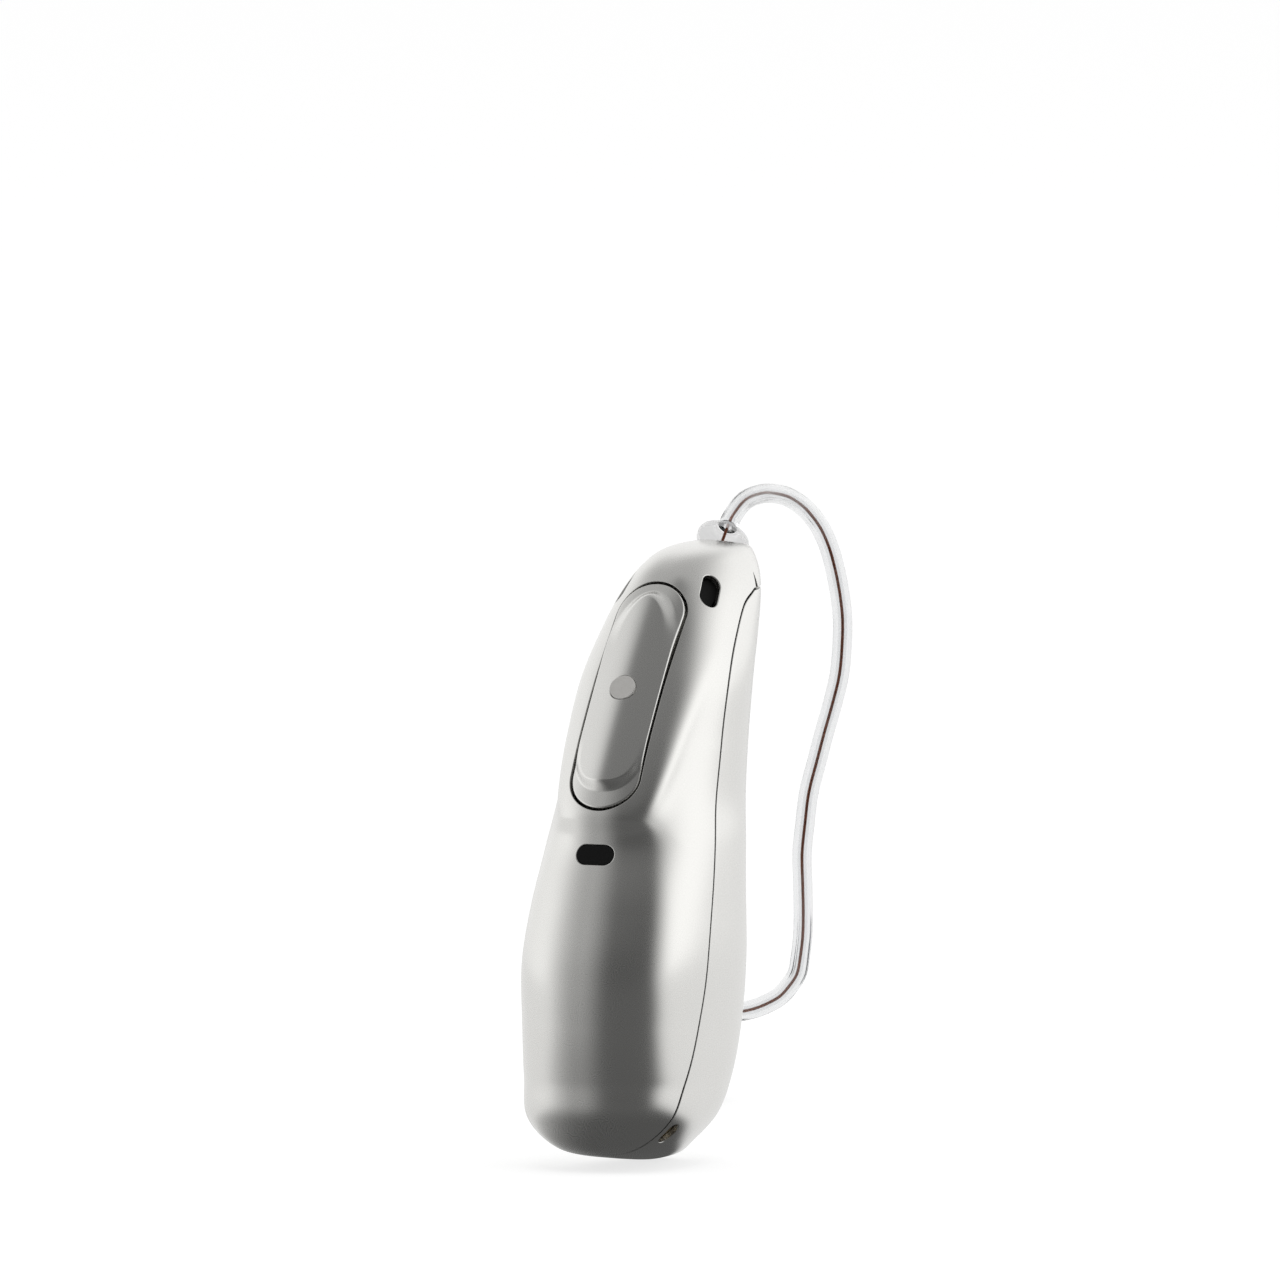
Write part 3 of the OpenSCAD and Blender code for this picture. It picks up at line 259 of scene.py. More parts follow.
# Each finish: its varying inputs (colour, grain's scale, amount, roughness, depth), its constants
FINISHES = {
    "silver_paint": (paint_nodes, METAL),
    "dark_rubber": (speckled((0.03, 0.03, 0.03), 4000, 0.5, 0.65), {}),
    "dark_plastic": (speckled((0.06, 0.06, 0.065), 3000, 0.4, 0.5), {}),
    "cell_steel": (speckled((0.62, 0.62, 0.61), 2500, 0.2, 0.3), METAL),
    "gold_contact": (speckled((0.5, 0.38, 0.2), 3000, 0.15, 0.3), METAL),
    "board_green": (speckled((0.02, 0.14, 0.06), 3500, 0.4, 0.4), {}),
    "chip_black": (speckled((0.025, 0.025, 0.027), 4000, 0.4, 0.45), {}),
    "chip_grey": (speckled((0.13, 0.13, 0.14), 4000, 0.3, 0.45), {}),
    "copper": (speckled((0.2, 0.055, 0.02), 5000, 0.4, 0.35), {"Metallic": 0.6}),
    "mic_metal": (speckled((0.7, 0.69, 0.66), 3000, 0.15, 0.3), METAL),
    # Near black: the screens' own dark colour, made darker still as painted shade for the deep
    # slots
    "screen_black": (speckled((0.008, 0.008, 0.008), 6000, 0.4, 0.7),
                     {"Specular_IOR_Level": 0.15}),
    "pin_steel": (speckled((0.6, 0.6, 0.61), 3000, 0.15, 0.22), METAL),
    "light_diffuser": (speckled((0.56, 0.55, 0.53), 5000, 0.12, 0.38), {}),
    "led_white": (speckled((0.9, 0.9, 0.84), 3000, 0.1, 0.3), {}),
    "clear_plastic": (speckled((0.97, 0.97, 0.97), 900, 0.03, 0.12), {"Alpha": 0.4, "IOR": 1.45}),
    "wire_clear": (speckled((0.85, 0.855, 0.86), 700, 0.01, 0.1, 0.000001),
                   {"Transmission_Weight": 1.0, "IOR": 1.42}),
    "speaker_plastic": (speckled((0.08, 0.08, 0.085), 3500, 0.35, 0.42), {}),
    "filter_white": (speckled((0.85, 0.85, 0.84), 5000, 0.1, 0.5), {}),
    "dome_silicone": (speckled((0.70, 0.72, 0.74), 1500, 0.1, 0.5),
                      {"Transmission_Weight": 0.35, "IOR": 1.41}),
}
MATERIALS = {name: material(name, build, **constants)
             for name, (build, constants) in FINISHES.items()}


# ---------------------------------------------------------------- meshes
def new_object(name, verts, faces, normals=None):
    """A mesh object from points in millimetres, with its own vertex normals if given."""
    mesh = bpy.data.meshes.new(name)
    mesh.from_pydata([tuple(p) for p in np.asarray(verts) * MM], [], faces)
    mesh.update()
    mesh.shade_smooth()
    if normals is not None:
        mesh.normals_split_custom_set_from_vertices([tuple(n) for n in normals])
    return add_object(name, mesh)


def settle(ob, slot, body, *nodes):
    """Gives a piece its material slot and its body, and says which solids it stands for."""
    ob.data.materials.clear()
    ob.data.materials.append(MATERIALS[slot])
    if nodes:
        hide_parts(*nodes)
    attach(ob, body)


# ---------------------------------------------------------------- the housing's form
# Height, spine, ear side and half width of each station, as in the frame
STATIONS = np.array([
    [0, 0, 0, 0], [.0085, -.252, .083, .163], [.0323, -.538, .102, .293],
    [.0815, -.632, .154, .44], [.1494, -.639, .263, .473], [.2377, -.647, .335, .489],
    [.3328, -.639, .357, .5], [.4278, -.579, .368, .484], [.5229, -.515, .398, .462],
    [.5976, -.466, .436, .435], [.6893, -.361, .47, .424], [.7844, -.218, .515, .413],
    [.8557, -.094, .605, .375], [.9236, .03, .707, .315], [.9677, .139, .752, .239],
    [.9915, .301, .714, .163], [1, .568, .568, 0]]) * [BODY_H, BODY_D, BODY_D, BODY_W]
HOOD_EDGE = np.array([
    [-.9, .569], [-.486, .569], [-.459, .579], [-.414, .596], [-.368, .621], [-.293, .664],
    [-.206, .714], [-.092, .774], [.041, .834], [.194, .879], [.45, .934]]) * [BODY_D, BODY_H]
PARTING = np.array([
    [-.488, -.2], [-.488, .034], [-.466, .071], [-.421, .115], [-.376, .156], [-.331, .207],
    [-.286, .275], [-.241, .36], [-.173, .455], [-.105, .557], [-.038, .645], [.038, .747],
    [.105, .808], [.195, .856], [.323, .903], [.459, .924], [1, .924]]) * [BODY_D, BODY_H]


def through(p, t):
    """A smooth curve through the rows of p, at the places t counted in rows."""
    ghosts = np.vstack([2 * p[0] - p[1], p, 2 * p[-1] - p[-2]])
    return spline(ghosts, t)


def spline(q, t):
    """The same curve where the first and the last row of q only guide it."""
    i = np.clip(np.floor(t).astype(int), 0, len(q) - 4)
    f = (t - i)[:, None]
    a, b, c, d = q[i], q[i + 1], q[i + 2], q[i + 3]
    return 0.5 * (2 * b + (c - a) * f + (2 * a - 5 * b + 4 * c - d) * f ** 2
                  + (3 * b - a - 3 * c + d) * f ** 3)


def levels(t):
    """Height, spine, ear side and half width at the places t along the stations."""
    def mirrored(pole, near):
        return [near[0], 2 * pole[1] - near[1], 2 * pole[2] - near[2], -near[3]]
    q = np.vstack([mirrored(STATIONS[0], STATIONS[1]), STATIONS,
                   mirrored(STATIONS[-1], STATIONS[-2])])
    return spline(q, t)


# The section's power: below, its loss towards the top, and the shares of the height where this
# loss starts and over which it comes
SECTION_POWER = (2.75, 0.35, 0.41, 0.405)


def power_at(z):
    """Power of the rounded section: squarer below, rounder at the top."""
    low, drop, start, run = SECTION_POWER
    return low - drop * np.clip((z / BODY_H - start) / run, 0, 1)


FINE_T = np.linspace(0, len(STATIONS) - 1, 6000)
FINE = levels(FINE_T)
FINE_UP = np.maximum.accumulate(FINE[:, 0]) + np.arange(len(FINE)) * 1e-9


def at_height(z):
    """Spine, ear side and half width at a height."""
    return [np.interp(z, FINE_UP, FINE[:, k]) for k in (1, 2, 3)]


def side_x(y, z):
    """Half width of the plain form at a depth and a height."""
    s, e, w = at_height(z)
    p = power_at(z)
    r = np.abs(y - (s + e) / 2) / ((e - s) / 2)
    return np.where(r < 1, w * np.maximum(1 - r ** p, 0) ** (1 / p), 0)


def distance(p, line):
    """Distance of 2-D points p from an open line."""
    best = np.full(len(p), 1e9)
    for a, b in zip(line[:-1], line[1:]):
        d = b - a
        f = np.clip(((p - a) @ d) / (d @ d), 0, 1)
        best = np.minimum(best, np.hypot(*(p - a - f[:, None] * d).T))
    return best


def inside(p, loop):
    """Whether 2-D points lie in a closed loop."""
    odd = np.zeros(len(p), bool)
    for a, b in zip(loop, np.roll(loop, -1, axis=0)):
        if a[1] == b[1]:
            continue
        cross = (p[:, 1] > min(a[1], b[1])) & (p[:, 1] <= max(a[1], b[1]))
        odd ^= cross & (p[:, 0] < a[0] + (p[:, 1] - a[1]) * (b[0] - a[0]) / (b[1] - a[1]))
    return odd


def smooth_line(points, each):
    return through(points, np.linspace(0, len(points) - 1, (len(points) - 1) * each + 1))


def soft_step(s):
    """0 below 0, 1 above 1, with a soft step between them."""
    s = np.clip(s, 0, 1)
    return s * s * (3 - 2 * s)


# Points to each row of a line, rounds that soften the hood's edge, a distance past the object
LINE_STEPS, HOOD_ROUNDS, PAST = 8, 24, 9
HOOD_LINE = smooth_line(HOOD_EDGE, LINE_STEPS)
for _ in range(HOOD_ROUNDS):
    HOOD_LINE[1:-1] = (HOOD_LINE[:-2] + 2 * HOOD_LINE[1:-1] + HOOD_LINE[2:]) / 4
PARTING_LINE = np.vstack([PARTING[:1], smooth_line(PARTING[1:-1], LINE_STEPS), PARTING[-1:]])
FRONT_LOOP = np.vstack([PARTING_LINE, [[2 * BODY_D, PARTING[-1, 1]], [2 * BODY_D, -PAST],
                                       [PARTING[0, 0], -PAST]]])


def sunk(y, z):
    """How far the surface is sunk below the edge of the hood."""
    p = np.column_stack([y, z])
    below = z < np.interp(y, HOOD_LINE[:, 0], HOOD_LINE[:, 1])
    d = distance(p, HOOD_LINE) * np.where(below, 1, -1)
    d = HOOD_SOFT * np.logaddexp(0, d / HOOD_SOFT)
    start, end = HOOD_FADE
    whole = 1 - soft_step((y / BODY_D - start) / (end - start))
    return HOOD_STEP * whole * (1 - np.exp(-d / HOOD_FALL)) * np.exp(-(d / HOOD_REACH) ** 2)


def unit(v):
    return v / np.maximum(np.linalg.norm(v, axis=-1, keepdims=True), 1e-12)


SECTION_STEPS = 1440


def housing_grid(rows, cols):
    """Points and normals of the housing's surface on an even grid."""
    pace = np.abs(np.diff(FINE, axis=0))
    run = np.hypot(pace[:, 0], np.maximum.reduce([pace[:, 1], pace[:, 2], pace[:, 3]]))
    run = np.concatenate([[0], np.cumsum(run)])
    t = np.interp(np.linspace(0, run[-1], rows + 2)[1:-1], run, FINE_T)
    z, s, e, w = levels(t).T
    p = power_at(z)[:, None]
    a = np.linspace(0, 2 * np.pi, SECTION_STEPS + 1)[None]
    ca, sa = np.cos(a), np.sin(a)
    x = w[:, None] * np.sign(ca) * np.abs(ca) ** (2 / p)
    y = ((s + e) / 2)[:, None] + ((e - s) / 2)[:, None] * np.sign(sa) * np.abs(sa) ** (2 / p)
    out = np.zeros((rows, cols, 3))
    for i in range(rows):
        way = np.concatenate([[0], np.cumsum(np.hypot(np.diff(x[i]), np.diff(y[i])))])
        at = np.linspace(0, way[-1], cols + 1)[:-1]
        out[i, :, 0] = np.interp(at, way, x[i])
        out[i, :, 1] = np.interp(at, way, y[i])
        out[i, :, 2] = z[i]
    mid, half = ((s + e) / 2)[:, None], ((e - s) / 2)[:, None]
    rx, ry = out[..., 0] / w[:, None], (out[..., 1] - mid) / half
    n = np.stack([np.sign(rx) * np.abs(rx) ** (p - 1) / w[:, None],
                  np.sign(ry) * np.abs(ry) ** (p - 1) / half], -1)
    n = unit(n)
    depth = sunk(out[..., 1].ravel(), out[..., 2].ravel()).reshape(rows, cols)
    out[..., :2] -= n * depth[..., None]
    along = np.roll(out, -1, 1) - np.roll(out, 1, 1)
    rise = np.gradient(out, axis=0)
    return out, unit(np.cross(along, rise))


# ---------------------------------------------------------------- frames of the details
def frame_at(origin, x, y, z):
    return np.array(origin, float), np.array([x, y, z], float)


def local(p, place):
    origin, axes = place
    return (p - origin) @ axes.T


def world(q, place):
    origin, axes = place
    return origin + np.asarray(q) @ axes


def level_spine(z):
    """Depth of the spine at a height."""
    return float(at_height(z)[0])


TIP_LOW, TIP_HIGH = (np.array([level_spine(share * BODY_H), share * BODY_H]) for share in TIPS_AT)
ROCKER_L = float(np.linalg.norm(TIP_HIGH - TIP_LOW))
LEAN = math.atan2(*(TIP_HIGH - TIP_LOW))
ROCKER_MID = (TIP_LOW + TIP_HIGH) / 2
ROCKER = frame_at((0, *ROCKER_MID), (1, 0, 0), (0, math.sin(LEAN), math.cos(LEAN)),
                  (0, -math.cos(LEAN), math.sin(LEAN)))


SLOPE_STEP = 0.015


def side_frame(at, hint, side):
    """Frame on the housing's side: y along the hint, z out of the surface."""
    y, z, e = at[0] * BODY_D, at[1] * BODY_H, SLOPE_STEP
    n = unit(np.array([1, -(side_x(y + e, z) - side_x(y - e, z)) / (2 * e),
                       -(side_x(y, z + e) - side_x(y, z - e)) / (2 * e)], float))
    v = np.array(hint, float)
    v = unit(v - (v @ n) * n)
    flip = np.array([side, 1, 1])
    return np.array([side_x(y, z), y, z]) * flip, np.array([np.cross(v, n), v, n]) * flip


FRONT_SLOTS = [side_frame(SLOT_AT, SLOT_ALONG, side) for side in (1, -1)]
PORTS = [side_frame(PORT_AT, PORT_ALONG, side) for side in (1, -1)]
REAR_Z, REAR_STEP = REAR_AT * BODY_H, BODY_H / 100
REAR_LEAN = math.atan2(level_spine(REAR_Z + REAR_STEP) - level_spine(REAR_Z - REAR_STEP),
                       2 * REAR_STEP)
REAR_SLOT = frame_at((0, level_spine(REAR_Z), REAR_Z),
                     (0, math.sin(REAR_LEAN), math.cos(REAR_LEAN)), (-1, 0, 0),
                     (0, -math.cos(REAR_LEAN), math.sin(REAR_LEAN)))


PLUG_Y, TOP_FROM = 0.658 * BODY_D, 0.97 * BODY_H


def plug_frame():
    """Frame on the ear side of the housing's top, with z along the wire's first bit."""
    y = PLUG_Y
    top = FINE[FINE[:, 0] > TOP_FROM]
    order = np.argsort(top[:, 2])
    z = float(np.interp(y, top[order, 2], top[order, 0]))
    lean = math.radians(PLUG_LEAN)
    return frame_at((0, y, z), (1, 0, 0), (0, math.cos(lean), -math.sin(lean)),
                    (0, math.sin(lean), math.cos(lean)))


PLUG = plug_frame()
NOTCH = np.array([[.472, .92], [.508, .92], [.508, .951]]) * [BODY_D, BODY_H]


def stadium(p, length, width):
    """Signed distance from a stadium whose length runs along y, below 0 inside."""
    d = np.maximum(np.abs(p[:, 1]) - (length - width) / 2, 0)
    return np.hypot(p[:, 0], d) - width / 2


def opening(p, place, length, width):
    """Signed distance from a stadium drawn in a frame, with no cut far from its plane."""
    q = local(p, place)
    return np.where(np.abs(q[:, 2]) < CUT_REACH, stadium(q, length, width), NO_CUT)


def hole(place, length, width, rim):
    """Rule of a stadium hole."""
    return (lambda p: opening(p, place, length, width) - rim), -place[1][2], rim, WALL


def button_hole(p):
    q = local(p, ROCKER)
    gap = stadium(q, ROCKER_L + 2 * ROCKER_GAP, ROCKER_W + 2 * ROCKER_GAP)
    return np.where(q[:, 2] > -BUTTON_REACH, gap, NO_CUT) - RIM_R


def collar_hole(p):
    q = local(p, PLUG)
    gap = np.hypot(q[:, 0], q[:, 1]) - COLLAR_R - COLLAR_GAP - RIM_R
    return np.where(q[:, 2] > -CUT_REACH, gap, NO_CUT)


def notch_hole(p):
    away = distance(p[:, 1:], np.vstack([NOTCH, NOTCH[:1]]))
    return away * np.where(inside(p[:, 1:], NOTCH), -1, 1) - RIM_R


def shell_rules(side):
    """The rules of a shell: where it has material, and the rims of its cuts."""
    far = -1 if side == "back" else 1

    def parting(p):
        d = distance(p[:, 1:], PARTING_LINE) * np.where(inside(p[:, 1:], FRONT_LOOP), 1, -1)
        return far * d - PARTING_GAP / 2 - RIM_R

    rules = [(parting, "skin", RIM_R, WALL)]
    if side == "front":
        return rules + [hole(place, PORT_L, PORT_W, RIM_R) for place in PORTS]
    return (rules + [(button_hole, -ROCKER[1][2], RIM_R, WALL)]
            + [hole(place, SLOT_L, SLOT_W, SLOT_RIM_R) for place in FRONT_SLOTS + [REAR_SLOT]]
            + [(collar_hole, -PLUG[1][2], RIM_R, WALL), (notch_hole, "side", RIM_R, WALL)])


def cut_surface(grid, normals, rules, closed=True):
    """The part of the grid where every rule is above 0, with a rounded rim into the wall.

    A rule is a function for the signed distance, the way into the wall ("skin" for straight in
    from the surface, "side" for level), the rim's radius and the wall's depth.
    Returns the points, their normals and the faces.
    """
    rows, cols, _ = grid.shape
    flat, nflat = grid.reshape(-1, 3), normals.reshape(-1, 3)
    values = np.stack([rule[0](flat) for rule in rules])
    phi, which = values.min(0), values.argmin(0)
    points, norms, kinds, faces = list(flat), list(nflat), list(which), []
    cuts, follow = {}, {}

    def cut(i, j):
        key = (min(i, j), max(i, j))
        if key not in cuts:
            f = phi[i] / (phi[i] - phi[j])
            points.append(flat[i] * (1 - f) + flat[j] * f)
            norms.append(unit(nflat[i] * (1 - f) + nflat[j] * f))
            kinds.append(which[j])
            cuts[key] = len(points) - 1
        return cuts[key]

    def poly(ids):
        keep = [phi[i] > 0 for i in ids]
        if all(keep):
            faces.append(tuple(ids))
            return
        if not any(keep):
            return
        out, marks = [], []
        for k, i in enumerate(ids):
            j = ids[(k + 1) % len(ids)]
            if keep[k]:
                out.append(i)
            if keep[k] != keep[(k + 1) % len(ids)]:
                v = cut(i, j) if keep[k] else cut(j, i)
                marks.append((v, keep[k]))
                out.append(v)
        faces.append(tuple(out))
        for k, (v, leaving) in enumerate(marks):
            if leaving:
                follow[v] = marks[(k + 1) % len(marks)][0]

    for i in range(rows - 1):
        for j in range(cols if closed else cols - 1):
            a, b = i * cols + j, i * cols + (j + 1) % cols
            poly((a, b, b + cols, a + cols))
    for ring, order in ((0, -1), (rows - 1, 1)) if closed else ():
        ids = [ring * cols + j for j in range(cols)][::order]
        if (phi[ids] > 0).all():
            points.append(flat[ids].mean(0))
            norms.append(unit(nflat[ids].mean(0)))
            kinds.append(0)
            faces.extend((ids[k], ids[(k + 1) % cols], len(points) - 1) for k in range(cols))
    before = {b: a for a, b in follow.items()}
    columns = {}
    for v in set(follow) | set(before):
        n, (_, way, r, deep) = norms[v], rules[kinds[v]]
        t = unit(points[follow.get(v, v)] - points[before.get(v, v)])
        across = unit(np.cross(t, n))
        if isinstance(way, str):
            if way == "skin":
                gap = unit(np.array([0, across[1], across[2]]))
                inward = unit(-n + (n @ gap) * gap)
            else:
                inward = np.array([-np.sign(points[v][0]), 0, 0])
        else:
            inward = unit(way)
        column = [v]
        for k in range(1, RIM_STEPS + 1):
            th = math.pi / 2 * k / RIM_STEPS
            points.append(points[v] + r * (math.sin(th) * across + (1 - math.cos(th)) * inward))
            norms.append(unit(math.cos(th) * n + math.sin(th) * across))
            column.append(len(points) - 1)
        points.append(points[column[-1]] + inward * (deep - r))
        norms.append(across)
        column.append(len(points) - 1)
        columns[v] = column
    for a, b in follow.items():
        for k in range(RIM_STEPS + 1):
            faces.append((columns[b][k], columns[a][k], columns[a][k + 1], columns[b][k + 1]))
    used = sorted({v for f in faces for v in f})
    new = {v: k for k, v in enumerate(used)}
    return ([points[v] for v in used], [norms[v] for v in used],
            [tuple(new[v] for v in f) for f in faces])


GRID_SIZE = ((300, 320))
GRID, GRID_NORMALS = housing_grid(*GRID_SIZE)
for side in ("back", "front"):
    points, norms, faces = cut_surface(GRID, GRID_NORMALS, shell_rules(side))
    ob = new_object(side + "_cover", points, faces, norms)
    settle(ob, "silver_paint", "housing", side + "_shell")


# ---------------------------------------------------------------- the button
CROWN = (ROCKER_MID[0] - level_spine(ROCKER_MID[1])) * math.cos(LEAN)
MID_S, MID_E, MID_W = (float(v) for v in at_height(ROCKER_MID[1]))
MID_POWER = 2.4
# Shares of a ridge end's length: where the plain middle starts, and how long it takes to set in
PLAIN_FROM, PLAIN_RUN = 0.55, 0.75
# Half width of the button's tips as a share of the whole, and a floor for what is divided by
TIP_SHARE, TINY = 0.004, 1e-6
# Points round the window and out to its first rim ring, and the rim rings as shares of its radius
WINDOW_SIDES, WINDOW_PLAIN, WINDOW_RINGS = 64, 9, (0.88, 0.93, 0.97, 1.0)


def ridge_height(x, u):
    """Share of the ridge's height: 1 on the ridge, 0 beyond its rounded ends."""
    nose, run, power, soft = (np.where(u > 0, a, b) for a, b in zip(*RIDGE_ENDS))
    half = RIDGE_WIDE * ROCKER_W / 2
    t = ROCKER_L / 2 - np.abs(u) - nose
    along, across = np.clip(1 - t / run, 0, None), np.abs(x) / half
    q = np.maximum((along ** power + across ** power) ** (1 / power), TINY)
    slope = np.hypot((across / q) ** (power - 1) / half, (along / q) ** (power - 1) / run)
    s = soft_step((1 - q) / np.maximum(slope, TINY) / soft)
    return s + (1 - s) * soft_step((t - run * PLAIN_FROM) / (run * PLAIN_RUN))


def button_top(x, u):
    """Height of the button over the line between its tips: the housing's crown and the ridge."""
    base = (CROWN * (1 - (2 * u / ROCKER_L) ** 2) - (MID_E - MID_S) / 2 * math.cos(LEAN)
            * (1 - (1 - (np.abs(x) / MID_W) ** MID_POWER) ** (1 / MID_POWER)))
    soft = RIDGE_CREST * ROCKER_W
    ridge = (RIDGE_H - RIDGE_FALL * (2 * u / ROCKER_L) ** 2
             - RIDGE_SLOPE * (np.hypot(x, soft) - soft))
    return base + np.maximum(ridge - base, 0) * ridge_height(x, u)


def rim_drop(to_edge, r):
    """How far a rounded rim of radius r has dropped at a distance from its edge."""
    return r - np.sqrt(r ** 2 - (r - np.clip(to_edge, 0, r)) ** 2)


BUTTON_GRID = ((321, 97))


def make_button():
    """The button's top with the ridge and the window's hole, its side and its underside."""
    rows, cols = BUTTON_GRID
    half_l, half_w = (ROCKER_L - ROCKER_GAP) / 2, ROCKER_W / 2
    run = np.linspace(-1, 1, rows) * (half_l - half_w + math.pi / 2 * half_w)
    past = np.maximum(np.abs(run) - (half_l - half_w), 0) / half_w
    u = np.sign(run) * (np.minimum(np.abs(run), half_l - half_w) + half_w * np.sin(past))
    half = half_w * np.maximum(np.cos(past), TIP_SHARE)
    x = half[:, None] * np.sin(np.linspace(-1, 1, cols) * math.pi / 2)[None]
    uu = np.repeat(u[:, None], cols, 1)
    to_edge = -stadium(np.column_stack([x.ravel(), uu.ravel()]), 2 * half_l, 2 * half_w)
    n = button_top(x, uu) - rim_drop(to_edge.reshape(rows, cols), BUTTON_RIM_R)
    top = world(np.stack([x, uu, n], -1).reshape(-1, 3), ROCKER).reshape(rows, cols, 3)
    slopes = unit(np.cross(np.gradient(top, axis=1), np.gradient(top, axis=0)))
    window = (lambda p: np.hypot(*local(p, ROCKER)[:, :2].T) - LIGHT_R - WINDOW_GAP - WINDOW_RIM_R,
              -ROCKER[1][2], WINDOW_RIM_R, WINDOW_DEPTH)
    points, norms, faces = cut_surface(top, slopes, [window], closed=False)
    rim = ([(0, j) for j in range(cols)] + [(i, cols - 1) for i in range(1, rows)]
           + [(rows - 1, j) for j in range(cols - 2, -1, -1)]
           + [(i, 0) for i in range(rows - 2, 0, -1)])
    start, count = len(points), len(rim)
    q = np.array([local(top[i, j], ROCKER) for i, j in rim])
    away = np.column_stack([q[:, 0], q[:, 1] - np.clip(q[:, 1], half_w - half_l, half_l - half_w),
                            np.zeros(count)])
    low = q.copy()
    low[:, 2] = -ROCKER_T
    for ring in (q, low):
        points.extend(world(ring, ROCKER))
        norms.extend(unit(away) @ ROCKER[1])
    for k in range(count):
        a, b = start + k, start + (k + 1) % count
        faces.append((a, a + count, b + count, b))
    points.extend(world(low, ROCKER))
    norms.extend([-ROCKER[1][2]] * count)
    faces.append(tuple(start + 2 * count + k for k in range(count))[::-1])
    return new_object("button_cap", points, faces, norms)


def make_window():
    """The round end of the light pipe, flush with the ridge, with a rounded edge."""
    plain = np.linspace(0, WINDOW_RINGS[0], WINDOW_PLAIN)[1:]
    rings = np.concatenate([plain, WINDOW_RINGS[1:]]) * LIGHT_R
    sides = WINDOW_SIDES
    a = np.arange(sides) * 2 * math.pi / sides
    middle = button_top(np.array(0.0), np.array(0.0)) - WINDOW_SINK
    points, faces = [world((0, 0, middle), ROCKER)], []
    drops = [WINDOW_SINK + rim_drop(LIGHT_R - r, WINDOW_RIM_R) for r in rings]
    for r, drop in zip([*rings, LIGHT_R], [*drops, WINDOW_DEPTH]):
        x, u = r * np.cos(a), r * np.sin(a)
        points.extend(world(np.column_stack([x, u, button_top(x, u) - drop]), ROCKER))
    faces.extend((0, 1 + k, 1 + (k + 1) % sides) for k in range(sides))
    for i in range(len(rings)):
        for k in range(sides):
            a0, b0 = 1 + i * sides + k, 1 + i * sides + (k + 1) % sides
            faces.append((a0, a0 + sides, b0 + sides, b0))
    return new_object("light_window", points, faces)


settle(make_button(), "silver_paint", "rocker", "rocker_button")
settle(make_window(), "light_diffuser", "rocker")


# ---------------------------------------------------------------- wire
WIRE = np.array([
    [0, 9.9, 30.4], [0, 11.3, 31], [0, 13.1, 31.2], [0, 14.8, 31.1], [0.1, 16.4, 30.8],
    [0.2, 18, 30.2], [0.4, 19.1, 29.4], [0.6, 19.7, 28.6], [0.8, 20.1, 27.6], [1.1, 20.2, 26.2],
    [1.3, 20.2, 24.8], [1.3, 20.2, 23.5], [1.2, 20.1, 21.9], [0.9, 19.9, 20.4], [0.6, 19.6, 19],
    [0.3, 19.3, 17.5], [0, 19.1, 16.1], [-0.2, 19.1, 14.6], [-0.4, 19.2, 13.1],
    [-0.5, 19.5, 11.6], [-0.6, 19.8, 10.2], [-0.8, 20.2, 9], [-1.1, 20.6, 7.9], [-1.5, 21.1, 7],
    [-2.1, 21.5, 6.3], [-2.8, 21.8, 5.7], [-3.8, 22, 5.2], [-4.8, 22.3, 4.9], [-5.6, 22.7, 4.8],
    [-6.4, 23.2, 4.7]])
# How far out of the housing the wire's line starts, the conductors' reach past both ends of the
# tube, and the points round the tube and round the conductors
EXIT_H, CORE_DEPTH, TUBE_SIDES, CORE_SIDES = 0.75, 1, 32, 12
EXIT = PLUG[0] + EXIT_H * PLUG[1][2]
EAR_TILT, EAR_TURN = math.radians(96), math.radians(144)


def speaker_frame():
    """Frame at the wire's end, with z into the ear."""
    x = np.array([math.cos(EAR_TILT) * math.cos(EAR_TURN),
                  math.cos(EAR_TILT) * math.sin(EAR_TURN), -math.sin(EAR_TILT)])
    y = np.array([-math.sin(EAR_TURN), math.cos(EAR_TURN), 0])
    return frame_at(WIRE[-1], x, y, np.cross(x, y))


SPEAKER = speaker_frame()


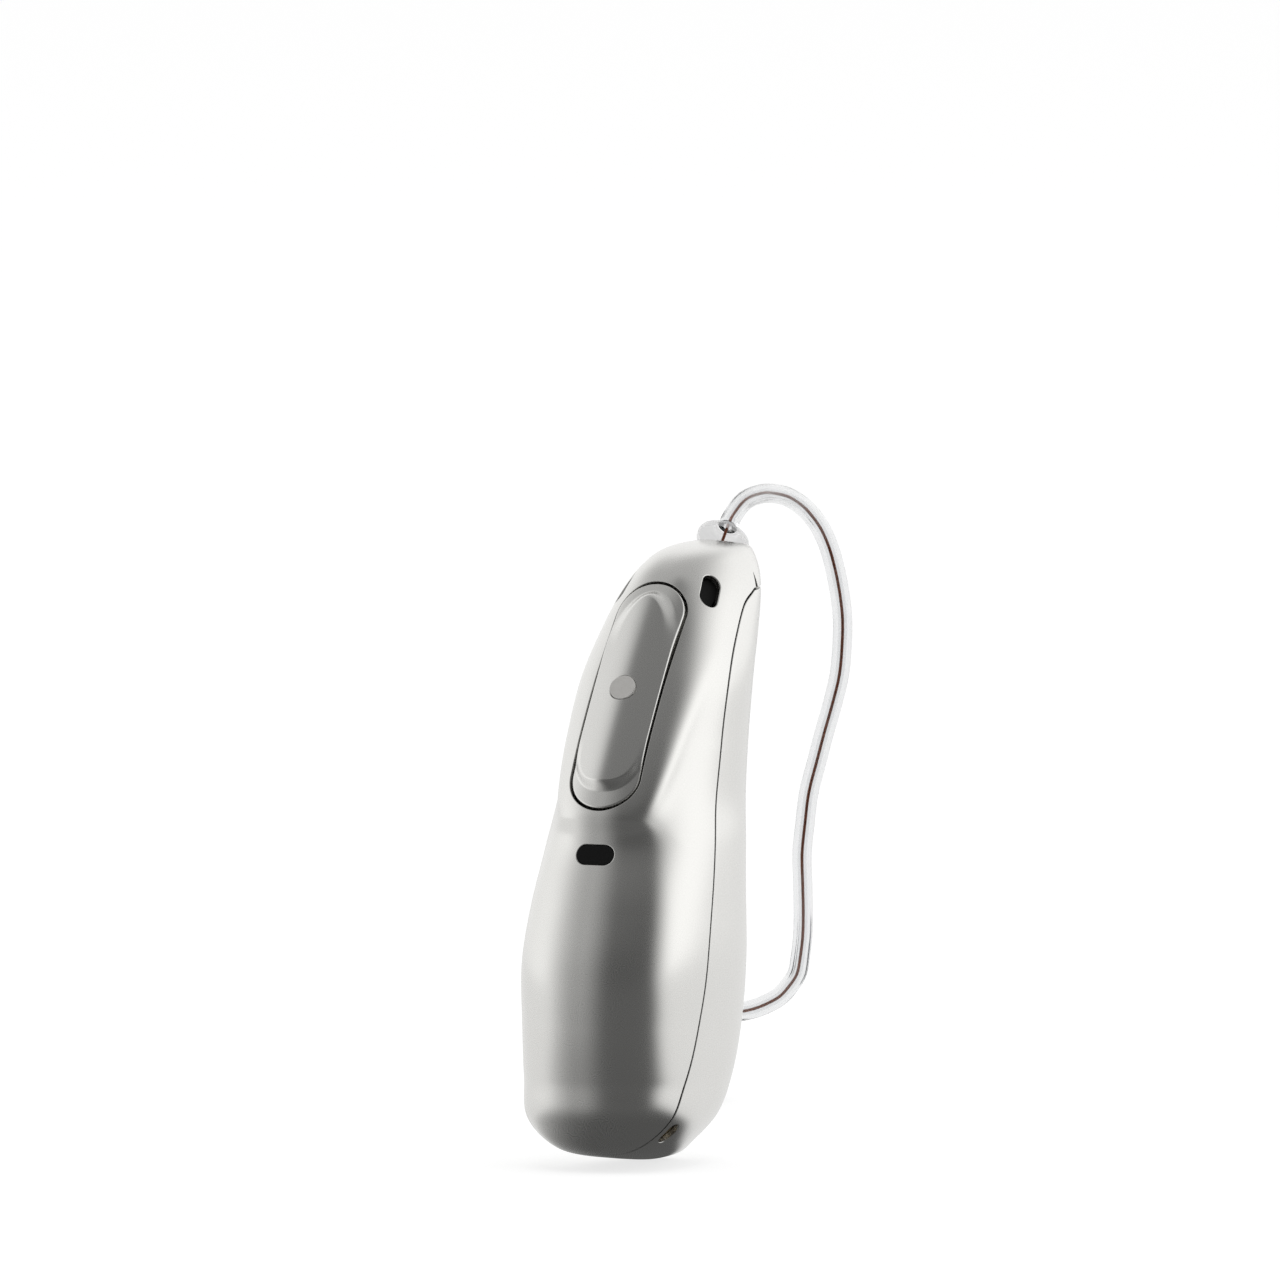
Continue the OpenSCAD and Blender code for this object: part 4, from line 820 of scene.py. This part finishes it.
def tube_tree():
    """Geometry Nodes: a tube round a path, with a bore if its radius is above 0."""
    tree = bpy.data.node_groups.new("tube_on_path", "GeometryNodeTree")
    face = tree.interface
    face.new_socket("Path", in_out="INPUT", socket_type="NodeSocketGeometry")
    for name, value in (("Radius", TUBE_R * MM), ("Bore", TUBE_BORE_R * MM)):
        face.new_socket(name, in_out="INPUT", socket_type="NodeSocketFloat").default_value = value
    face.new_socket("Sides", in_out="INPUT", socket_type="NodeSocketInt")
    face.new_socket("Material", in_out="INPUT", socket_type="NodeSocketMaterial")
    face.new_socket("Tube", in_out="OUTPUT", socket_type="NodeSocketGeometry")
    nodes, link = tree.nodes, tree.links.new
    give, take = nodes.new("NodeGroupInput"), nodes.new("NodeGroupOutput")
    curve = nodes.new("GeometryNodeMeshToCurve")
    link(give.outputs["Path"], curve.inputs[0])
    join = nodes.new("GeometryNodeJoinGeometry")
    for name in ("Radius", "Bore"):
        ring = nodes.new("GeometryNodeCurvePrimitiveCircle")
        link(give.outputs["Sides"], ring.inputs["Resolution"])
        link(give.outputs[name], ring.inputs["Radius"])
        tube = nodes.new("GeometryNodeCurveToMesh")
        link(curve.outputs[0], tube.inputs["Curve"])
        link(ring.outputs["Curve"], tube.inputs["Profile Curve"])
        if name == "Radius":
            tube.inputs["Fill Caps"].default_value = True
            link(tube.outputs[0], join.inputs[0])
            continue
        flip = nodes.new("GeometryNodeFlipFaces")
        link(tube.outputs[0], flip.inputs[0])
        gate = nodes.new("GeometryNodeSwitch")
        gate.input_type = "GEOMETRY"
        test = nodes.new("FunctionNodeCompare")
        link(give.outputs["Bore"], test.inputs[0])
        link(test.outputs[0], gate.inputs["Switch"])
        link(flip.outputs[0], gate.inputs["True"])
        link(gate.outputs[0], join.inputs[0])
    smooth = nodes.new("GeometryNodeSetShadeSmooth")
    real = nodes.new("GeometryNodeRealizeInstances")
    paint = nodes.new("GeometryNodeSetMaterial")
    link(join.outputs[0], smooth.inputs[0])
    link(smooth.outputs[0], real.inputs[0])
    link(real.outputs[0], paint.inputs[0])
    link(give.outputs["Material"], paint.inputs["Material"])
    link(paint.outputs[0], take.inputs[0])
    return tree


def from_tree(name, source, tree, values):
    """Runs a tree on an object and returns its result as a plain mesh object."""
    mod = source.modifiers.new("tree", "NODES")
    mod.node_group = tree
    for item in tree.interface.items_tree:
        if item.item_type == "SOCKET" and item.in_out == "INPUT" and item.name in values:
            mod[item.identifier] = values[item.name]
    done = source.evaluated_get(bpy.context.evaluated_depsgraph_get())
    mesh = bpy.data.meshes.new_from_object(done)
    mesh.name = name
    ob = add_object(name, mesh)
    bpy.data.objects.remove(source)
    return ob


def path_object(points):
    """A line of edges through points, for a tree to follow."""
    mesh = bpy.data.meshes.new("path")
    mesh.from_pydata([tuple(p) for p in points * MM],
                     [(i, i + 1) for i in range(len(points) - 1)], [])
    return add_object("path", mesh)


TUBE_TREE, TUBE_STEPS = tube_tree(), 6


def make_tube(name, points, radius, bore, sides, slot, *nodes):
    """A tube of the housing's body on a smooth line through points."""
    line = smooth_line(points, TUBE_STEPS)
    ob = from_tree(name, path_object(line), TUBE_TREE, {
        "Radius": radius * MM, "Bore": bore * MM, "Sides": sides, "Material": MATERIALS[slot]})
    settle(ob, slot, "housing", *nodes)


make_tube("wire_sleeve", np.vstack([EXIT, WIRE]), TUBE_R, TUBE_BORE_R, TUBE_SIDES,
          "wire_clear", "wire_tube")
make_tube("wire_core", np.vstack([EXIT - CORE_DEPTH * PLUG[1][2], EXIT, WIRE,
                                  WIRE[-1] + CORE_DEPTH * SPEAKER[1][2]]),
          CONDUCTOR_R, 0.0, CORE_SIDES, "copper", "wire_conductors")


# ---------------------------------------------------------------- turned pieces
def turned(name, place, profile, sides=72):
    """A surface turned about the z of a frame: profile rows are radius and height."""
    a = np.arange(sides) * 2 * math.pi / sides
    points, faces = [], []
    for r, h in profile:
        points.extend(world(np.column_stack([r * np.cos(a), r * np.sin(a), np.full(sides, h)]),
                            place))
    for i in range(len(profile) - 1):
        for k in range(sides):
            a0, b0 = i * sides + k, i * sides + (k + 1) % sides
            faces.append((a0, b0, b0 + sides, a0 + sides))
    return new_object(name, points, faces)


def rounded(points, each):
    """Cuts the corners of an open outline into small curves."""
    p = np.array(points, float)
    for _ in range(each):
        p = np.vstack([p[:1], np.stack([0.75 * p[:-1] + 0.25 * p[1:],
                                        0.25 * p[:-1] + 0.75 * p[1:]], 1).reshape(-1, 2), p[-1:]])
    return p


# The plug's clear cap: a low dome with a neck that the tube leaves through
PLUG_CAP = rounded([(1.28, -0.25), (1.3, 0.02), (1.26, 0.12), (0.95, 0.34), (0.7, 0.4),
                    (0.62, 0.5), (0.6, 0.66), (0.52, 0.7), (0.48, 0.7)], 3)
settle(turned("plug_cap", PLUG, PLUG_CAP), "clear_plastic", "housing", "wire_plug")

# The speaker's sizes along its frame, and those of the soft pieces at its two ends
RELIEF_L, RELIEF_R, RELIEF_END_R, RELIEF_BORE_R = 2.2, 0.7, 1.15, 0.3
RIBS, RIB_START, RIB_PITCH, RIB_DEPTH, EASE = 4, 0.12, 0.44, 0.1, 0.02
# Along a rib's pitch: its top's end, its foot, and the end of the groove; then the sleeve's end,
# where its last slope stops short of the full radius and where it reaches it
RIB_TOP, RIB_FOOT, GROOVE_END = 0.26, 0.3, 0.42
RELIEF_TIP_R, SLOPE_SHORT, SLOPE_AT, FULL_AT = 0.6, 0.03, 1.9, 2.0
SPOUT_END, SPOUT_R = 10.9, 1.0
DOME_R, DOME_T, DOME_H, DOME_HUB_R, DOME_HOLE_R, HUB_L = 3.5, 0.35, 3.3, 1.45, 0.72, 2.3
DOME_SWEEP, DOME_STEPS, RIM_ROUND, RIM_BULGE = math.radians(96), 25, 8, 0.12
# Play of the hub on the spout, the slope of the hub's edge, and the gap between the spout's end
# and the dome's top as a share of its skin
SPOUT_FIT, HUB_EDGE, DOME_GAP = 0.03, (0.08, 0.1), 0.4


def relief_outline():
    """The strain relief: a rubber sleeve with ribs that grow towards the speaker."""
    rows = [(RELIEF_BORE_R, EASE), (RELIEF_TIP_R, EASE)]
    for k in range(RIBS):
        h = RIB_START + k * RIB_PITCH
        r = RELIEF_R + (RELIEF_END_R - RELIEF_R) * h / RELIEF_L
        rows += [(r - EASE, h), (r + EASE, h + RIB_TOP), (r - RIB_DEPTH, h + RIB_FOOT),
                 (r - RIB_DEPTH, h + GROOVE_END)]
    end = RELIEF_L - EASE
    return rounded(rows + [(RELIEF_END_R - SLOPE_SHORT, SLOPE_AT), (RELIEF_END_R, FULL_AT),
                           (RELIEF_END_R, end), (RELIEF_BORE_R, end)], 2)


def dome_outline():
    """The dome's skin from its hole over the rim and back inside to its hub."""
    mid = SPOUT_END + DOME_GAP * DOME_T - DOME_H + DOME_T
    top, hub = SPOUT_END + EASE, SPOUT_END - HUB_L
    skin = np.linspace(math.asin(DOME_HOLE_R / DOME_R), DOME_SWEEP, DOME_STEPS)
    rows = [(DOME_HOLE_R, top)]
    rows += [(DOME_R * math.sin(a), mid + DOME_H * math.cos(a)) for a in skin]
    for a in np.linspace(0, math.pi, RIM_ROUND + 1)[1:-1]:
        ring = DOME_R - DOME_T / 2 + DOME_T / 2 * math.cos(a)
        rows.append((ring * math.sin(DOME_SWEEP),
                     mid + DOME_H * math.cos(DOME_SWEEP) - RIM_BULGE * math.sin(a)))
    lining = np.linspace(DOME_SWEEP, math.asin(DOME_HUB_R / (DOME_R - DOME_T)), DOME_STEPS)
    rows += [((DOME_R - DOME_T) * math.sin(a), mid + (DOME_H - DOME_T) * math.cos(a))
             for a in lining]
    rows += [(DOME_HUB_R, hub + HUB_EDGE[1]), (DOME_HUB_R - HUB_EDGE[0], hub),
             (SPOUT_R + SPOUT_FIT, hub), (SPOUT_R + SPOUT_FIT, top), (DOME_HOLE_R, top)]
    return rows[::-1]


settle(turned("relief_sleeve", SPEAKER, relief_outline()), "dark_rubber", "housing",
       "speaker_boot")
settle(turned("dome_skin", SPEAKER, dome_outline(), 96), "dome_silicone", "dome", "ear_dome")


EDGE_STEPS, EDGE_ANGLE = 3, math.radians(35)


def softened(name, node, width):
    """A solid of the frame with its edges rounded."""
    ob = add_object(name, frame["nodes"][node].data.copy())
    mod = ob.modifiers.new("edges", "BEVEL")
    mod.width, mod.segments = width * MM, EDGE_STEPS
    mod.limit_method, mod.angle_limit = "ANGLE", EDGE_ANGLE
    mesh = bpy.data.meshes.new_from_object(
        ob.evaluated_get(bpy.context.evaluated_depsgraph_get()))
    ob.modifiers.remove(mod)
    ob.data = mesh
    mesh.shade_smooth()
    return ob


for name, node, width in (("parting_seal", "shell_seal", 0.008),
                          ("front_mic_sleeve", "front_mic_boot", 0.05),
                          ("rear_mic_sleeve", "rear_mic_boot", 0.05)):
    settle(softened(name, node, width), "dark_rubber", "housing", node)


# ---------------------------------------------------------------- finishes of the other solids
SLOT_OF = {part["node"]: part["material_slot"] for part in frame["record"]["subparts"]}
for name, ob in frame["nodes"].items():
    ob.data.materials.clear()
    ob.data.materials.append(MATERIALS[SLOT_OF[name]])


# ---------------------------------------------------------------- floor and light
# Levels of the studio: its side panels, which rise and lean to the right, and its dark front
SIDE_LEVEL, SIDE_RISE, SIDE_LEAN, DARK_LEVEL = 1.16, 0.22, 0.12, 0.12
# Compass degrees from the camera over which the left and the right panel set in
LEFT_PANEL, RIGHT_PANEL = (-24, -88), (44, 84)
# The ceiling: what it adds, the share of the side's level it takes away, and where it sets in
TOP_LEVEL, TOP_LOSS, TOP_RAMP = 0.21, 0.7, (0.38, 0.92)
# The floor as the camera sees it, and its level in reflections, where it glows with a painted copy
# of the studio and a painted shadow darkens it near the object, fading far from it
FLOOR_SIZE, FLOOR_COLOR, FLOOR_GLOW, FLOOR_SHARE = 6, (0.9, 0.9, 0.9, 1), 1.25, 0.6
NEAR_PAINTED_SHADOW, FAR_GAIN, FAR_RAMP, FLOOR_LIFT = 0.78, 0.26, (0.006, 0.05), 0.02
FLOOR_ROUGH, FLOOR_SHINE = 0.9, 0.1
# The lamp: degrees to the right of the camera, degrees up, distance, sizes, watts, aim
LAMP_AZ, LAMP_EL, LAMP_FAR, LAMP_SIZE, LAMP_POWER = 20, 75, 0.6, (0.5, 0.4), 1.2
LAMP_AIM = (0, 3, 15)


def surround(to_right, to_front):
    """Brightness of the studio by compass direction: two wide panels, dark towards the camera."""
    turn = to_right.math("ARCTAN2", to_front) * (180 / math.pi)
    panels = turn.ramp(*LEFT_PANEL).math("MAXIMUM", turn.ramp(*RIGHT_PANEL))
    side = SIDE_LEVEL + to_right.math("ABSOLUTE") ** 4 * SIDE_RISE + to_right * SIDE_LEAN
    return panels * (side - DARK_LEVEL) + DARK_LEVEL


def seen_directly(tree, path):
    """1 for what the camera sees, straight on or through something clear."""
    return Sock(tree, path.outputs["Is Camera Ray"]).math(
        "MAXIMUM", Sock(tree, path.outputs["Is Transmission Ray"]))


def floor_material():
    """A pale floor with a soft shadow; in reflections it glows as a painted copy of the studio,
    with a painted shadow near the object.
    """
    m = bpy.data.materials.new("floor")
    m.use_nodes = True
    t = m.node_tree
    bsdf = t.nodes["Principled BSDF"]
    bsdf.inputs["Base Color"].default_value = FLOOR_COLOR
    bsdf.inputs["Roughness"].default_value = FLOOR_ROUGH
    bsdf.inputs["Specular IOR Level"].default_value = FLOOR_SHINE
    path = t.nodes.new("ShaderNodeLightPath")
    place = Sock(t, t.nodes.new("ShaderNodeTexCoord").outputs["Object"])
    right, front = place.dot(TO_RIGHT), place.dot(TO_FRONT)
    far = (right * right + front * front) ** 0.5
    # Painted shadow and painted studio light: in reflections the floor glows with the studio's
    # levels, darker near the object and full far from it
    level = (surround(right / far, front / far)
             * (NEAR_PAINTED_SHADOW + far.ramp(*FAR_RAMP) * FAR_GAIN) + FLOOR_LIFT)
    studio = t.nodes.new("ShaderNodeEmission")
    t.links.new(level.mix((0, 0, 0), (1, 1, 1)).socket, studio.inputs["Color"])
    glow = t.nodes.new("ShaderNodeEmission")
    glow.inputs["Strength"].default_value = FLOOR_GLOW
    shade = bsdf.outputs[0]
    for share, light in ((seen_directly(t, path) * FLOOR_SHARE, glow),
                         (Sock(t, path.outputs["Is Glossy Ray"]), studio)):
        mix = t.nodes.new("ShaderNodeMixShader")
        t.links.new(share.socket, mix.inputs["Fac"])
        t.links.new(shade, mix.inputs[1])
        t.links.new(light.outputs[0], mix.inputs[2])
        shade = mix.outputs[0]
    t.links.new(shade, t.nodes["Material Output"].inputs["Surface"])
    return m


def make_floor():
    mesh = bpy.data.meshes.new("floor")
    s = FLOOR_SIZE / 2
    mesh.from_pydata([(-s, -s, 0), (s, -s, 0), (s, s, 0), (-s, s, 0)], [], [(0, 1, 2, 3)])
    ob = add_object("floor", mesh)
    mesh.materials.append(floor_material())


def make_lamp():
    """One soft lamp above the object, which reflections leave out."""
    data = bpy.data.lights.new("light_top", "AREA")
    data.shape = "RECTANGLE"
    data.size, data.size_y = LAMP_SIZE
    data.energy = LAMP_POWER
    ob = add_object("light_top", data)
    a, e = VIEW_AZ + math.radians(LAMP_AZ), math.radians(LAMP_EL)
    way = Vector((math.sin(a) * math.cos(e), -math.cos(a) * math.cos(e), math.sin(e)))
    ob.location = Vector(LAMP_AIM) * MM + way * LAMP_FAR
    ob.rotation_euler = way.to_track_quat("Z", "Y").to_euler()
    ob.visible_glossy = False


def make_world():
    """Soft studio surroundings under an even ceiling."""
    w = bpy.data.worlds.new("world")
    bpy.context.scene.world = w
    w.use_nodes = True
    t = w.node_tree
    way = Sock(t, t.nodes.new("ShaderNodeTexCoord").outputs["Generated"])
    level = surround(way.dot(TO_RIGHT), way.dot(TO_FRONT))
    level = level + way.dot((0, 0, 1)).ramp(*TOP_RAMP) * (TOP_LEVEL - level * TOP_LOSS)
    seen = seen_directly(t, t.nodes.new("ShaderNodeLightPath"))
    back = t.nodes["Background"]
    back.inputs["Color"].default_value = (1, 1, 1, 1)
    t.links.new((seen + (1 - seen) * level).socket, back.inputs["Strength"])


make_floor()
make_lamp()
make_world()
